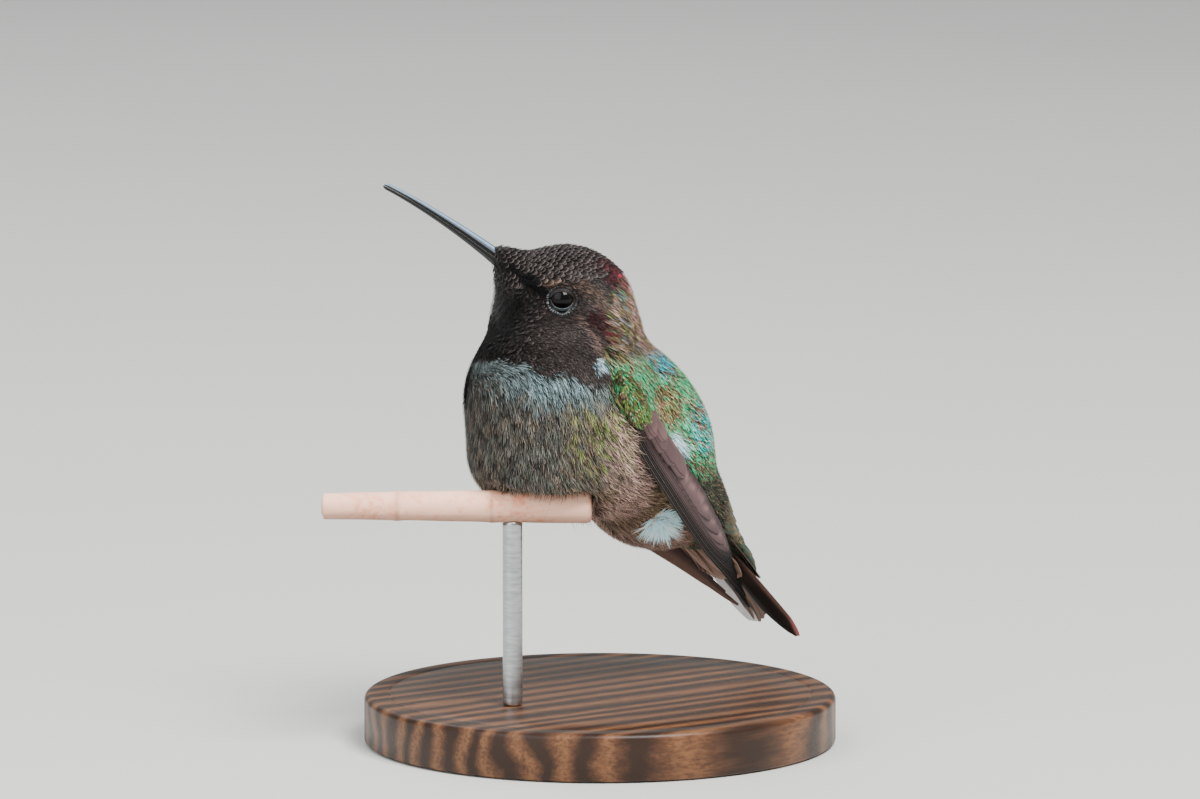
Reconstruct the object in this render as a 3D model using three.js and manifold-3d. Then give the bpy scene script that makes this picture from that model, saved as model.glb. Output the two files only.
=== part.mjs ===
// A perched male hummingbird, life size, on a cut length of twig held by a plain display stand.
//
// Millimetres, +Z up. The origin is the middle of the stand's underside. The trunk faces -Y, its left side
// is +X, and the head is turned to the bird's right. Feathered forms are one smooth field of named lobes,
// meshed round a spine and then parted by thin cuts. Flight feathers are thin blades joined side by side.
import * as THREE from "three";
import { mergeVertices } from "three/addons/utils/BufferGeometryUtils.js";
import Module from "manifold-3d";

const wasm = await Module();
wasm.setup();

const V = (x, y, z) => new THREE.Vector3(x, y, z);
const rad = THREE.MathUtils.degToRad;
const mix = THREE.MathUtils.lerp;
const clamp01 = (x) => Math.min(1, Math.max(0, x));
const smooth = (x) => THREE.MathUtils.smoothstep(x, 0, 1);

// ---------------------------------------------------------------- driving sizes

const PARTING = 0.3; // the thin cut between neighbouring parts of the body
const SEAT = 0.12; // the air left round a small part set into a larger one

const HEAD_TURN = 40; // degrees that the head is turned to the bird's right
const HEAD_AT = V(-2.6, -3.6, 57.0);
const BILL_RISE = 34.5; // degrees that the bill points above level

const PERCH_TURN = 50; // degrees from +X to the twig, seen from above
const PERCH_HEIGHT = 31.4;
const PERCH_OFFSET = 9.4; // the twig's axis passes this far in front of the upright through the origin
const PERCH_END = -1.0; // where the twig is cut, along its own direction from that upright
const PERCH_LENGTH = 34;
const PERCH_RADIUS = { cut: 2.25, far: 1.65 };

const BASE = { radius: 30, thickness: 6, chamfer: 0.8 };
const ROD_RADIUS = 1.25;

// ---------------------------------------------------------------- directions

// Directions of a part that is turned to the bird's right by `turn` and pitched nose-up by `pitch`.
function heading(pitch, turn) {
  const p = rad(pitch);
  const t = rad(turn);
  const fore = V(-Math.sin(t) * Math.cos(p), -Math.cos(t) * Math.cos(p), Math.sin(p));
  const side = V(Math.cos(t), -Math.sin(t), 0);
  const up = new THREE.Vector3().crossVectors(fore, side);
  return { side, fore, up };
}

const level = heading(0, HEAD_TURN);

// A point given in the head's own directions, from the middle of the head.
function inHead(fore, side, up) {
  return HEAD_AT.clone()
    .addScaledVector(level.fore, fore)
    .addScaledVector(level.side, side)
    .addScaledVector(level.up, up);
}

// ---------------------------------------------------------------- the twig's line

const perchAlong = V(Math.cos(rad(PERCH_TURN)), Math.sin(rad(PERCH_TURN)), 0);
const perchFront = V(Math.sin(rad(PERCH_TURN)), -Math.cos(rad(PERCH_TURN)), 0);

// A point on the twig's axis, by its place along the twig's own direction.
function onPerch(along) {
  return V(0, 0, PERCH_HEIGHT).addScaledVector(perchFront, PERCH_OFFSET).addScaledVector(perchAlong, along);
}

// ---------------------------------------------------------------- the feathered form

// Each lobe: its middle, its half sizes (side, fore, up), its nose-up pitch and its turn.
const LOBES = [
  { name: "cranium", at: inHead(-0.8, 0, -0.1), half: [6.6, 7.9, 6.4], pitch: 14, turn: HEAD_TURN },
  { name: "forehead", at: inHead(5.2, 0, 2.4), half: [2.4, 4.0, 2.1], pitch: BILL_RISE, turn: HEAD_TURN },
  { name: "throat", at: inHead(3.6, 0, -3.4), half: [6.5, 5.9, 6.0], pitch: 64, turn: HEAD_TURN },
  { name: "nape", at: inHead(-2.2, 0, -4.8), half: [7.0, 7.4, 5.7], pitch: 0, turn: HEAD_TURN },
  { name: "breast", at: V(0, -6.1, 42.8), half: [13.0, 13.7, 12.0], pitch: 68, turn: 0 },
  { name: "belly", at: V(0, -3.3, 39.0), half: [12.3, 13.2, 8.8], pitch: 32, turn: 0 },
  { name: "lower_breast", at: V(0, -11.3, 36.7), half: [9.5, 7.0, 6.5], pitch: 40, turn: 0 },
  { name: "back", at: V(0, 5.8, 40.0), half: [11.0, 12.9, 8.1], pitch: 60, turn: 0 },
  { name: "vent", at: V(0, 7.2, 30.6), half: [8.6, 8.2, 6.5], pitch: 34, turn: 0 },
  { name: "rump", at: V(0, 12.5, 31.0), half: [7.0, 9.4, 5.2], pitch: 54, turn: 0 },
  { name: "tail_coverts", at: V(0, 18.9, 24.9), half: [4.3, 9.2, 1.5], pitch: 46, turn: 0 },
].map((lobe) => ({ ...lobe, ...heading(lobe.pitch, lobe.turn) }));
const LOBE_MELT = 1.25; // how sharply lobes meet, per millimetre

// Signed distance-like field of the lobes, melted together: below zero inside.
function field(p) {
  let sum = 0;
  const q = new THREE.Vector3();
  for (const { at, half, side, fore, up } of LOBES) {
    q.subVectors(p, at);
    const reach = Math.hypot(q.dot(side) / half[0], q.dot(fore) / half[1], q.dot(up) / half[2]);
    sum += Math.exp(-LOBE_MELT * (reach - 1) * Math.min(...half));
  }
  return -Math.log(sum) / LOBE_MELT;
}

// The spine that the form is meshed round, from the face to the tail, with the head's turn at each point.
const SPINE = new THREE.CatmullRomCurve3([
  inHead(4.4, 0, 2.6),
  inHead(0.2, 0, -1.4),
  V(-1.2, -2.4, 50.2),
  V(0, -1.4, 44.2),
  V(0, 0.8, 38.0),
  V(0, 6.6, 32.6),
  V(0, 13.6, 28.2),
  V(0, 19.8, 23.9),
]);
const SPINE_EASE = 0.1; // the spine's direction is taken over this share of it each way, to turn gently
const TURN_ENDS = 0.36; // the share of the spine over which the head's turn dies away

function spineFrame(s) {
  const ahead = SPINE.getPoint(Math.min(1, s + SPINE_EASE));
  const tangent = ahead.sub(SPINE.getPoint(Math.max(0, s - SPINE_EASE))).normalize();
  const turn = HEAD_TURN * (1 - smooth(clamp01(s / TURN_ENDS)));
  const side = heading(0, turn).side;
  side.addScaledVector(tangent, -side.dot(tangent)).normalize();
  const belly = new THREE.Vector3().crossVectors(tangent, side);
  if (belly.z > 0) belly.negate();
  return { at: SPINE.getPoint(s), tangent, side, belly };
}

// How far the form reaches from a point inside it, along a direction.
function reach(from, direction) {
  let near = 0;
  let far = 30;
  const p = new THREE.Vector3();
  for (let i = 0; i < 26; i++) {
    const middle = (near + far) / 2;
    p.copy(from).addScaledVector(direction, middle);
    if (field(p) < 0) near = middle;
    else far = middle;
  }
  return p.copy(from).addScaledVector(direction, (near + far) / 2);
}

// Rings of points on the form. The rays of the first and last rings lean over to the poles at bill and tail.
function formRings({ rings, caps, sides }) {
  const billward = heading(BILL_RISE, HEAD_TURN).fore;
  const tailward = SPINE.getTangent(1);
  const plan = [];
  for (let i = 1; i <= caps; i++) plan.push([0, 1 - i / (caps + 1), billward]);
  for (let i = 0; i < rings; i++) plan.push([i / (rings - 1), 0, billward]);
  for (let i = 1; i <= caps; i++) plan.push([1, i / (caps + 1), tailward]);
  const made = plan.map(([s, lean, pole]) => {
    const { at, side, belly } = spineFrame(s);
    return Array.from({ length: sides }, (_, k) => {
      const round = (2 * Math.PI * k) / sides;
      const out = belly.clone().multiplyScalar(Math.cos(round)).addScaledVector(side, Math.sin(round));
      const tip = (lean * Math.PI) / 2;
      out.multiplyScalar(Math.cos(tip)).addScaledVector(pole, Math.sin(tip));
      return reach(at, out.normalize());
    });
  });
  return {
    rings: made,
    start: reach(SPINE.getPoint(0), billward),
    end: reach(SPINE.getPoint(1), tailward),
  };
}

// ---------------------------------------------------------------- solids

function toSolid(geometry) {
  const plain = geometry.clone();
  plain.deleteAttribute("normal");
  plain.deleteAttribute("uv");
  const merged = mergeVertices(plain, 1e-4);
  const solid = new wasm.Manifold(
    new wasm.Mesh({
      numProp: 3,
      vertProperties: new Float32Array(merged.attributes.position.array),
      triVerts: new Uint32Array(merged.index.array),
    }),
  );
  return solid;
}

// The largest body of a solid, so that a cut leaves no crumbs.
function whole(solid) {
  return solid.decompose().reduce((a, b) => (b.volume() > a.volume() ? b : a));
}

function toGeometry(solid) {
  const mesh = whole(solid).getMesh();
  const geometry = new THREE.BufferGeometry();
  const points = new Float32Array(mesh.numVert * 3);
  for (let i = 0; i < mesh.numVert; i++)
    points.set(mesh.vertProperties.subarray(i * mesh.numProp, i * mesh.numProp + 3), i * 3);
  geometry.setAttribute("position", new THREE.BufferAttribute(points, 3));
  geometry.setIndex(new THREE.BufferAttribute(mesh.triVerts, 1));
  geometry.computeVertexNormals();
  return geometry;
}

// A closed skin over rings of equal length, its two ends drawn to single points.
function loft(rings, start, end) {
  const sides = rings[0].length;
  const points = [...rings.flat(), start, end];
  const index = [];
  rings.slice(1).forEach((_, i) => {
    for (let k = 0; k < sides; k++) {
      const a = i * sides + k;
      const b = i * sides + ((k + 1) % sides);
      index.push(a, b, a + sides, b, b + sides, a + sides);
    }
  });
  const last = (rings.length - 1) * sides;
  for (let k = 0; k < sides; k++) {
    const next = (k + 1) % sides;
    index.push(points.length - 2, next, k);
    index.push(points.length - 1, last + k, last + next);
  }
  const geometry = new THREE.BufferGeometry().setFromPoints(points);
  geometry.setIndex(index);
  const solid = toSolid(geometry);
  if (solid.volume() > 0) return solid;
  for (let i = 0; i < index.length; i += 3) [index[i + 1], index[i + 2]] = [index[i + 2], index[i + 1]];
  geometry.setIndex(index);
  return toSolid(geometry);
}

const middle = (ring) => ring.reduce((sum, p) => sum.add(p), V(0, 0, 0)).multiplyScalar(1 / ring.length);

// A round limb along a curve. `radius` is a function of the share of the way along.
function limb(curve, radius, { steps = 10, sides = 8, grow = 0 } = {}) {
  const frames = curve.computeFrenetFrames(steps, false);
  const rings = Array.from({ length: steps + 1 }, (_, i) => {
    const at = curve.getPointAt(i / steps);
    const r = radius(i / steps) + grow;
    return Array.from({ length: sides }, (_, k) => {
      const round = (2 * Math.PI * k) / sides;
      return at
        .clone()
        .addScaledVector(frames.normals[i], r * Math.cos(round))
        .addScaledVector(frames.binormals[i], r * Math.sin(round));
    });
  });
  return loft(rings, middle(rings[0]), middle(rings[steps]));
}

// A lathe profile stood on a line from one point to another.
function turned(profile, from, to, sides) {
  const geometry = new THREE.LatheGeometry(
    profile.map(([r, h]) => new THREE.Vector2(r, h)),
    sides,
  );
  const axis = new THREE.Vector3().subVectors(to, from).normalize();
  geometry.applyQuaternion(new THREE.Quaternion().setFromUnitVectors(V(0, 1, 0), axis));
  geometry.translate(from.x, from.y, from.z);
  const solid = toSolid(geometry);
  if (solid.volume() > 0) return solid;
  geometry.index.array.reverse();
  return toSolid(geometry);
}

function ball(at, radius, detail = 2) {
  const geometry = new THREE.IcosahedronGeometry(radius, detail);
  geometry.translate(at.x, at.y, at.z);
  return toSolid(geometry);
}

// A wide slab through a point, square to `normal`.
function slab(at, normal, thickness) {
  const geometry = new THREE.BoxGeometry(90, 90, thickness);
  geometry.applyQuaternion(new THREE.Quaternion().setFromUnitVectors(V(0, 0, 1), normal.clone().normalize()));
  geometry.translate(at.x, at.y, at.z);
  return toSolid(geometry);
}

// Half of space on the side of a plane that `normal` points to, as a large block.
function beyond(at, normal) {
  const size = 120;
  const n = normal.clone().normalize();
  return slab(at.clone().addScaledVector(n, size / 2), n, size);
}

// ---------------------------------------------------------------- flight feathers

// One feather as a blade: a curve, half widths along it, and the way its upper face looks.
function feather({ curve, half, thick, face, grow = 0, steps = 7 }) {
  const rings = Array.from({ length: steps + 1 }, (_, i) => {
    const s = 1 - Math.pow(1 - i / steps, 1.4); // closer together at the rounded tip
    const at = curve.getPointAt(s);
    const along = curve.getTangentAt(s);
    const across = new THREE.Vector3().crossVectors(face(s), along).normalize();
    const up = new THREE.Vector3().crossVectors(along, across).normalize();
    const w = half(s) + grow;
    const t = thick / 2 + grow;
    return [
      [-w, -t],
      [w, -t],
      [w, t],
      [-w, t],
    ].map(([x, y]) => at.clone().addScaledVector(across, x).addScaledVector(up, y));
  });
  return loft(rings, middle(rings[0]), middle(rings[steps]));
}

const join = (solids) => solids.reduce((a, b) => a.add(b));

// ---------------------------------------------------------------- wings

// The folded left wing lies on a sheet between its leading edge and its trailing edge, wrist to tip.
const WING = {
  primaries: 10,
  secondaries: 4,
  thick: 0.5,
  layer: 0.1, // each feather lies this far further out than the one before it
  innermost: 0.52, // the share of the wing that the shortest primary reaches
  sunk: 1.45, // how far its innermost layer lies under the sheet
  pocket: 7, // how far out the body is cleared over the wing
  under: 0.95, // and how far in under its innermost layer
};
const LEADING = new THREE.CatmullRomCurve3([
  V(12.5, -8.5, 49.4),
  V(14.3, -5.5, 41.0),
  V(13.0, 1.4, 33.0),
  V(8.8, 11.0, 24.6),
  V(6.0, 17.4, 19.9),
  V(2.4, 24.6, 14.1),
]);
const TRAILING = new THREE.CatmullRomCurve3([
  V(12.7, -5.6, 49.7),
  V(13.5, -0.9, 41.4),
  V(11.4, 6.7, 33.6),
  V(7.4, 15.7, 25.3),
  V(4.9, 20.2, 21.0),
  V(2.4, 24.9, 14.6),
]);

// A place on the left wing's sheet: a share along it, a share across it, and millimetres outwards.
function onWing(along, across, out, hand = 1) {
  const a = LEADING.getPoint(along);
  const b = TRAILING.getPoint(along);
  const back = new THREE.Vector3().subVectors(b, a);
  const width = back.length();
  const face = new THREE.Vector3().crossVectors(LEADING.getTangent(along), back).normalize();
  if (face.x < 0) face.negate();
  const bulge = 0.1 * width * across * (1 - across);
  const at = a.addScaledVector(back, across).addScaledVector(face, out + bulge);
  return { at: at.multiply(V(hand, 1, 1)), face: face.multiply(V(hand, 1, 1)), width };
}

// One blade on the wing, between two shares of its length. `across` and `half` are functions of the share
// along the whole wing and of the share along the blade.
function wingFeather({ from, to, across, half, out, hand, grow, steps }) {
  const reachTo = (s) => mix(from, to, s);
  const points = Array.from({ length: 15 }, (_, k) => {
    const along = reachTo(k / 14);
    return onWing(along, across(along), out, hand).at;
  });
  return feather({
    curve: new THREE.CatmullRomCurve3(points),
    half: (s) => half(reachTo(s)) * Math.sqrt(clamp01((1.015 - s) * 6)),
    thick: WING.thick,
    face: (s) => onWing(reachTo(s), 0.5, 0, hand).face,
    grow,
    steps,
  });
}

// Primary number i: 0 is the longest, along the leading edge; the last is the shortest and lies outermost.
function primary(i, hand, grow) {
  const last = WING.primaries - 1;
  const crowd = (along) => Math.max(1, last * clamp01((1.02 - along) / (1.02 - WING.innermost)));
  return wingFeather({
    from: 0.1,
    to: mix(1, WING.innermost, i / last),
    across: (along) => mix(0.27, 0.74, clamp01(i / crowd(along))),
    half: (along) => Math.max(0.55, 0.27 * onWing(along, 0, 0).width),
    out: -WING.sunk + i * WING.layer,
    hand,
    grow,
    steps: 4,
  });
}

// The inner wing feathers and greater coverts, which lie over the roots of the primaries in steps.
function secondary(i, hand, grow) {
  return wingFeather({
    from: 0.1,
    to: 0.36 - 0.05 * i,
    across: () => 0.76 - 0.07 * i,
    half: () => 1.35,
    out: -WING.sunk + WING.layer * WING.primaries + 0.35 + i * WING.layer,
    hand,
    grow,
    steps: 3,
  });
}

// The forearm and wrist under their small coverts: a flattened lobe over the front of the wing.
const ARM = { reach: 0.2, across: 0.45, half: 0.45, thick: 1.15, sunk: -0.5 };

function wingArm(hand, grow) {
  const steps = 7;
  const rings = Array.from({ length: steps + 1 }, (_, i) => {
    const s = i / steps;
    const swell = Math.sqrt(Math.max(0.05, 1 - Math.pow(Math.abs(2 * s - 1), 2.6)));
    const along = mix(0.006, ARM.reach, s);
    return Array.from({ length: 10 }, (_, k) => {
      const round = (2 * Math.PI * k) / 10;
      const { width } = onWing(along, 0, 0);
      const across = ARM.across + (ARM.half + grow / width) * swell * Math.cos(round);
      const out = ARM.sunk + (ARM.thick * swell + grow) * Math.sin(round);
      return onWing(along, across, out, hand).at;
    });
  });
  const end = (along) => onWing(along, ARM.across, ARM.sunk, hand).at;
  return loft(rings, end(0), end(ARM.reach + 0.004 + grow / 40));
}

// The room that a wing takes out of the body: under its sheet, past its edges, and open to the outside.
function wingPocket(hand) {
  const steps = 9;
  const rings = Array.from({ length: steps + 1 }, (_, i) => {
    const along = mix(0.0, 1, i / steps);
    const { width } = onWing(along, 0, 0);
    const edge = 0.35 / width;
    const floor = -WING.thick / 2 - WING.sunk - WING.under;
    return [
      [-edge, floor],
      [0.5, floor],
      [1 + edge, floor],
      [1 + edge, WING.pocket],
      [-edge, WING.pocket],
    ].map(([across, out]) => onWing(along, across, out, hand).at);
  });
  return loft(rings, middle(rings[0]), middle(rings[steps]));
}

// ---------------------------------------------------------------- tail

const TAIL = {
  root: V(0, 11.2, 31.6),
  drop: 46.5, // degrees below level
  roll: 6, // degrees that its left side hangs below its right
  pairs: 5,
  spread: 7.6, // degrees that the outermost feather stands from the middle
  lengths: [25.0, 25.6, 26.4, 27.0, 26.8], // from the middle pair out
  halves: [2.3, 2.4, 2.3, 2.0, 1.6],
  layer: 0.22, // each pair lies this far under the one inside it
};

// The tail's own directions: down its length, out of its upper face, and to its left.
const [dropCos, dropSin] = [Math.cos(rad(TAIL.drop)), Math.sin(rad(TAIL.drop))];
const tailAlong = V(0, dropCos, -dropSin);
const tailFace = V(0, dropSin, dropCos).applyAxisAngle(tailAlong, rad(TAIL.roll));
const tailSide = V(1, 0, 0).applyAxisAngle(tailAlong, rad(TAIL.roll));

const onTail = (out, aside, up) =>
  TAIL.root
    .clone()
    .addScaledVector(tailAlong, out)
    .addScaledVector(tailSide, aside)
    .addScaledVector(tailFace, up);

function tailFeather(pair, hand, grow) {
  const share = (pair + 0.5) / TAIL.pairs;
  const aside = rad(TAIL.spread * share) * hand;
  const along = tailAlong.clone().multiplyScalar(Math.cos(aside)).addScaledVector(tailSide, Math.sin(aside));
  const root = onTail(0, (0.25 + 0.7 * share) * hand, -pair * TAIL.layer);
  const bow = 0.5; // the feather's own curve, outwards and down
  const curve = new THREE.QuadraticBezierCurve3(
    root,
    root.clone().addScaledVector(along, TAIL.lengths[pair] / 2).addScaledVector(tailFace, bow),
    root.clone().addScaledVector(along, TAIL.lengths[pair]),
  );
  const tilt = tailFace.clone().addScaledVector(tailSide, 0.3 * share * hand);
  const spread = (s) => mix(0.35, 1, smooth(clamp01(s * 1.6)));
  return feather({
    curve,
    half: (s) => TAIL.halves[pair] * spread(s) * Math.sqrt(clamp01((1.01 - s) * 7)),
    thick: 0.5,
    face: () => tilt,
    grow,
    steps: 4,
  });
}

// The room that the tail's roots take out of the body.
function tailPocket() {
  const rings = [0, 0.3, 0.7, 1].map((s) => {
    const out = mix(-0.5, TAIL.lengths[2] + 1, s);
    const half = mix(2.2, 6.2, s);
    const low = (TAIL.pairs - 1) * TAIL.layer + 0.6 + 0.5 * s;
    return [
      [-half, -low],
      [half, -low],
      [half, 0.75],
      [-half, 0.75],
    ].map(([x, y]) => onTail(out, x, y));
  });
  return loft(rings, middle(rings[0]), middle(rings[3]));
}

function tail(grow = 0) {
  const feathers = [];
  for (const hand of [1, -1])
    for (let pair = 0; pair < TAIL.pairs; pair++) feathers.push(tailFeather(pair, hand, grow));
  return join(feathers);
}

// ---------------------------------------------------------------- bill and eyes

const BILL = { base: [7.75, 4.1], length: 18.1, sunk: 3.4, root: [2.1, 1.15], tip: [0.42, 0.36], bow: 0.35 };

// Half of the bill: upper for hand 1, lower for -1. Sections are half ovals either side of the mouth line.
function billHalf(hand, grow = 0) {
  const { side, fore, up } = heading(BILL_RISE, HEAD_TURN);
  const root = inHead(BILL.base[0], 0, BILL.base[1]);
  const steps = 10;
  const slit = 0.06;
  const rings = Array.from({ length: steps + 1 }, (_, i) => {
    const s = i / steps;
    const out = mix(-BILL.sunk, BILL.length, s) - (i === 0 ? 2 * grow : 0);
    const wide = mix(BILL.root[0] * 0.62, BILL.tip[0] * 0.7, Math.pow(s, 0.75)) + grow;
    const tall = mix(BILL.root[1], BILL.tip[1], Math.pow(s, 0.7)) * (hand > 0 ? 1 : 0.82) + grow;
    const bow = BILL.bow * (1 - Math.pow(2 * s - 1, 2)) - 0.3 * Math.pow(s, 6);
    const at = root.clone().addScaledVector(fore, out).addScaledVector(up, bow);
    const corners = [0, 36, 72, 108, 144, 180].map((degrees) => [
      wide * Math.cos(rad(degrees)),
      slit + tall * Math.sin(rad(degrees)),
    ]);
    corners[0][1] = corners[5][1] = slit - 2 * grow;
    return corners.map(([x, y]) => at.clone().addScaledVector(side, x).addScaledVector(up, hand * y));
  });
  return loft(rings, middle(rings[0]), middle(rings[steps]));
}

const EYE = { radius: 1.9, fore: 0.32, up: 0.22, out: 5.3 };

const eyeAt = (hand) => inHead(EYE.fore, EYE.out * hand, EYE.up);

// ---------------------------------------------------------------- perch, feet and stand

function perchRadius(along) {
  return mix(PERCH_RADIUS.cut, PERCH_RADIUS.far, (PERCH_END - along) / PERCH_LENGTH);
}

function perch(grow = 0) {
  const { cut, far } = PERCH_RADIUS;
  const profile = [
    [0, -grow],
    [far - 0.35 + grow, -grow],
    [far + grow, 0.35],
    [mix(far, cut, 0.5) + grow, PERCH_LENGTH / 2],
    [cut + grow, PERCH_LENGTH - 0.6],
    [cut - 0.5 + grow, PERCH_LENGTH + grow],
    [0, PERCH_LENGTH + grow],
  ];
  return turned(profile, onPerch(PERCH_END - PERCH_LENGTH), onPerch(PERCH_END), 18);
}

// The hollow that the twig presses into the belly: a wide groove, a little ahead of and below the twig.
const HOLLOW = { ahead: 1.4, below: 2.8, radius: 5.75, past: 0.35 };

function perchHollow() {
  const shift = perchFront.clone().multiplyScalar(HOLLOW.ahead).add(V(0, 0, -HOLLOW.below));
  const long = PERCH_LENGTH + HOLLOW.past;
  const profile = [
    [0, 0],
    [HOLLOW.radius, 0],
    [HOLLOW.radius, long],
    [0, long],
  ];
  return turned(profile, onPerch(PERCH_END - PERCH_LENGTH).add(shift), onPerch(PERCH_END).add(shift), 22);
}

const FEET = { apart: 7.2, middle: -7.4, toe: 0.46, tarsus: 0.75 };
// Each toe: its place along the twig beside the foot, and how far round the twig it reaches, in degrees.
const TOES = [
  { aside: -1.25, reach: 52 },
  { aside: 0.0, reach: 60 },
  { aside: 1.25, reach: 52 },
  { aside: 0.0, reach: -118 },
];

const footAlong = (hand) => FEET.middle + (hand * FEET.apart) / 2;

// A point round the twig: degrees from its top towards its front.
function roundPerch(along, degrees, clear) {
  const r = perchRadius(along) + clear;
  return onPerch(along)
    .addScaledVector(perchFront, r * Math.sin(rad(degrees)))
    .addScaledVector(V(0, 0, 1), r * Math.cos(rad(degrees)));
}

function foot(hand, grow = 0) {
  const along = footAlong(hand);
  const clear = FEET.toe + SEAT;
  const toes = TOES.map(({ aside, reach: turn }) => {
    const points = Array.from({ length: 8 }, (_, k) => {
      const s = k / 7;
      return roundPerch(along + aside * Math.sqrt(s), turn * s, clear + 0.12 * (1 - s));
    });
    const thin = (s) => FEET.toe * (s < 0.72 ? 1 : mix(1, 0.3, (s - 0.72) / 0.28));
    return limb(new THREE.CatmullRomCurve3(points), thin, { steps: 4, sides: 5, grow });
  });
  return join([...toes, ball(roundPerch(along, 0, clear + 0.25), 0.8 + grow, 1)]);
}

// The short feathered leg, from inside the belly down to the foot.
function leg(hand, grow = 0) {
  const ankle = roundPerch(footAlong(hand), -6, 1.0);
  const hip = V(5.2 * hand, ankle.y + 4.4, ankle.z + 7.2);
  const knee = ankle.clone().lerp(hip, 0.5).add(V(0, 0.8, 0));
  const curve = new THREE.QuadraticBezierCurve3(ankle, knee, hip);
  return limb(curve, (s) => mix(FEET.tarsus, 1.5, s), { steps: 4, sides: 7, grow });
}

const ROD_ALONG = -11;

function standRod() {
  const top = onPerch(ROD_ALONG);
  const profile = [
    [0, 0],
    [ROD_RADIUS, 0],
    [ROD_RADIUS, PERCH_HEIGHT - BASE.thickness - SEAT],
    [0, PERCH_HEIGHT - BASE.thickness - SEAT],
  ];
  const foot = V(top.x, top.y, BASE.thickness + SEAT);
  return turned(profile, foot, V(foot.x, foot.y, foot.z + 1), 24).subtract(perch(SEAT));
}

function standBase() {
  const { radius, thickness, chamfer } = BASE;
  const profile = [
    [0, 0],
    [radius, 0],
    [radius, thickness - chamfer],
    [radius - chamfer, thickness],
    [0, thickness],
  ];
  return turned(profile, V(0, 0, 0), V(0, 0, 1), 36);
}

// ---------------------------------------------------------------- assembly

const material = (name, color, roughness, metalness = 0) =>
  new THREE.MeshStandardMaterial({ name, color, roughness, metalness });

const MATERIALS = {
  gorget: material("gorget", 0x3a2f31, 0.55),
  neck: material("neck", 0x6d6a52, 0.6),
  body: material("body", 0x7d7a6c, 0.7),
  flight: material("flight", 0x57494a, 0.5),
  covert: material("covert", 0x4c7a4e, 0.45),
  horn: material("horn", 0x24272e, 0.3),
  eye: material("eye", 0x0c0c0d, 0.08),
  foot: material("foot", 0x2b2626, 0.6),
  twig: material("twig", 0xc99a82, 0.7),
  rod: material("rod", 0x9a9c9e, 0.3, 0.9),
  base: material("base", 0x3b2a20, 0.5),
};

const bird = new THREE.Group();

function place(name, solid, look) {
  const mesh = new THREE.Mesh(toGeometry(solid), look);
  mesh.name = name;
  bird.add(mesh);
}

const formMesh = formRings({ rings: 20, caps: 3, sides: 22 });
let form = loft(formMesh.rings, formMesh.start, formMesh.end);

const HEAD_CUT = { at: V(0, -3, 51.4), normal: V(0, 0.02, 1) };
const NECK_CUT = { at: V(0, -3, 46.8), normal: V(0, 0.06, 1) };

const sides = { left: 1, right: -1 };
const hands = Object.values(sides);

const armRoom = join(hands.map((hand) => wingArm(hand, SEAT)));
const primariesOf = (hand, grow) =>
  join(Array.from({ length: WING.primaries }, (_, i) => primary(i, hand, grow)));
const secondariesOf = (hand, grow) =>
  join(Array.from({ length: WING.secondaries }, (_, i) => secondary(i, hand, grow)));
const pockets = join(hands.map(wingPocket));
const secondaryRoom = join(hands.map((hand) => secondariesOf(hand, SEAT)));
const tailRoom = tailPocket();
const feetRoom = join(hands.map((hand) => foot(hand, SEAT)));
const legRoom = join(hands.map((hand) => leg(hand, SEAT)));

form = [pockets, armRoom, tailRoom, legRoom, feetRoom, perchHollow()].reduce(
  (solid, room) => solid.subtract(room),
  form,
);

// Part a solid in two at a cut, leaving the cut's thickness of air.
function partAt(solid, { at, normal }) {
  const above = beyond(at, normal);
  return [solid.intersect(above), solid.subtract(above).subtract(slab(at, normal, 2 * PARTING))];
}

const [headPart, belowHead] = partAt(form, HEAD_CUT);
const [neckPart, trunkPart] = partAt(belowHead, NECK_CUT);

const bills = { bill_upper: billHalf(1), bill_lower: billHalf(-1) };
const billRoom = billHalf(1, SEAT).add(billHalf(-1, SEAT));
const eyeRoom = join(hands.map((hand) => ball(eyeAt(hand), EYE.radius + SEAT, 2)));

place("head", headPart.subtract(billRoom).subtract(eyeRoom), MATERIALS.gorget);
place("neck", neckPart, MATERIALS.neck);
place("trunk", trunkPart, MATERIALS.body);
for (const [name, solid] of Object.entries(bills)) place(name, solid, MATERIALS.horn);
place("tail", tail(), MATERIALS.flight);
const bladeRoom = join([armRoom, secondaryRoom, tailRoom]);

for (const [side, hand] of Object.entries(sides)) {
  place(`eye_${side}`, ball(eyeAt(hand), EYE.radius, 2), MATERIALS.eye);
  place(`wing_${side}_arm`, wingArm(hand, 0), MATERIALS.covert);
  place(`wing_${side}_primaries`, primariesOf(hand, 0).subtract(bladeRoom), MATERIALS.flight);
  place(`wing_${side}_secondaries`, secondariesOf(hand, 0).subtract(armRoom), MATERIALS.flight);
  place(`leg_${side}`, leg(hand).subtract(feetRoom), MATERIALS.body);
  place(`foot_${side}`, foot(hand), MATERIALS.foot);
}
place("perch", perch(), MATERIALS.twig);
place("stand_rod", standRod(), MATERIALS.rod);
place("stand_base", standBase(), MATERIALS.base);

export default bird;
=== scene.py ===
"""A perched male hummingbird, life size, on a cut twig and a display stand, dressed for rendering.

Sizes are worked in millimetres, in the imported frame's own directions, and put into metres when a mesh is
made. The feathered form is the surface where a field of named lobes is zero. One skin follows it under the
coat, and every small feather is laid on the same surface, from bill to tail.
"""

import logging
import math
from dataclasses import dataclass, field
from enum import Enum

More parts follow.
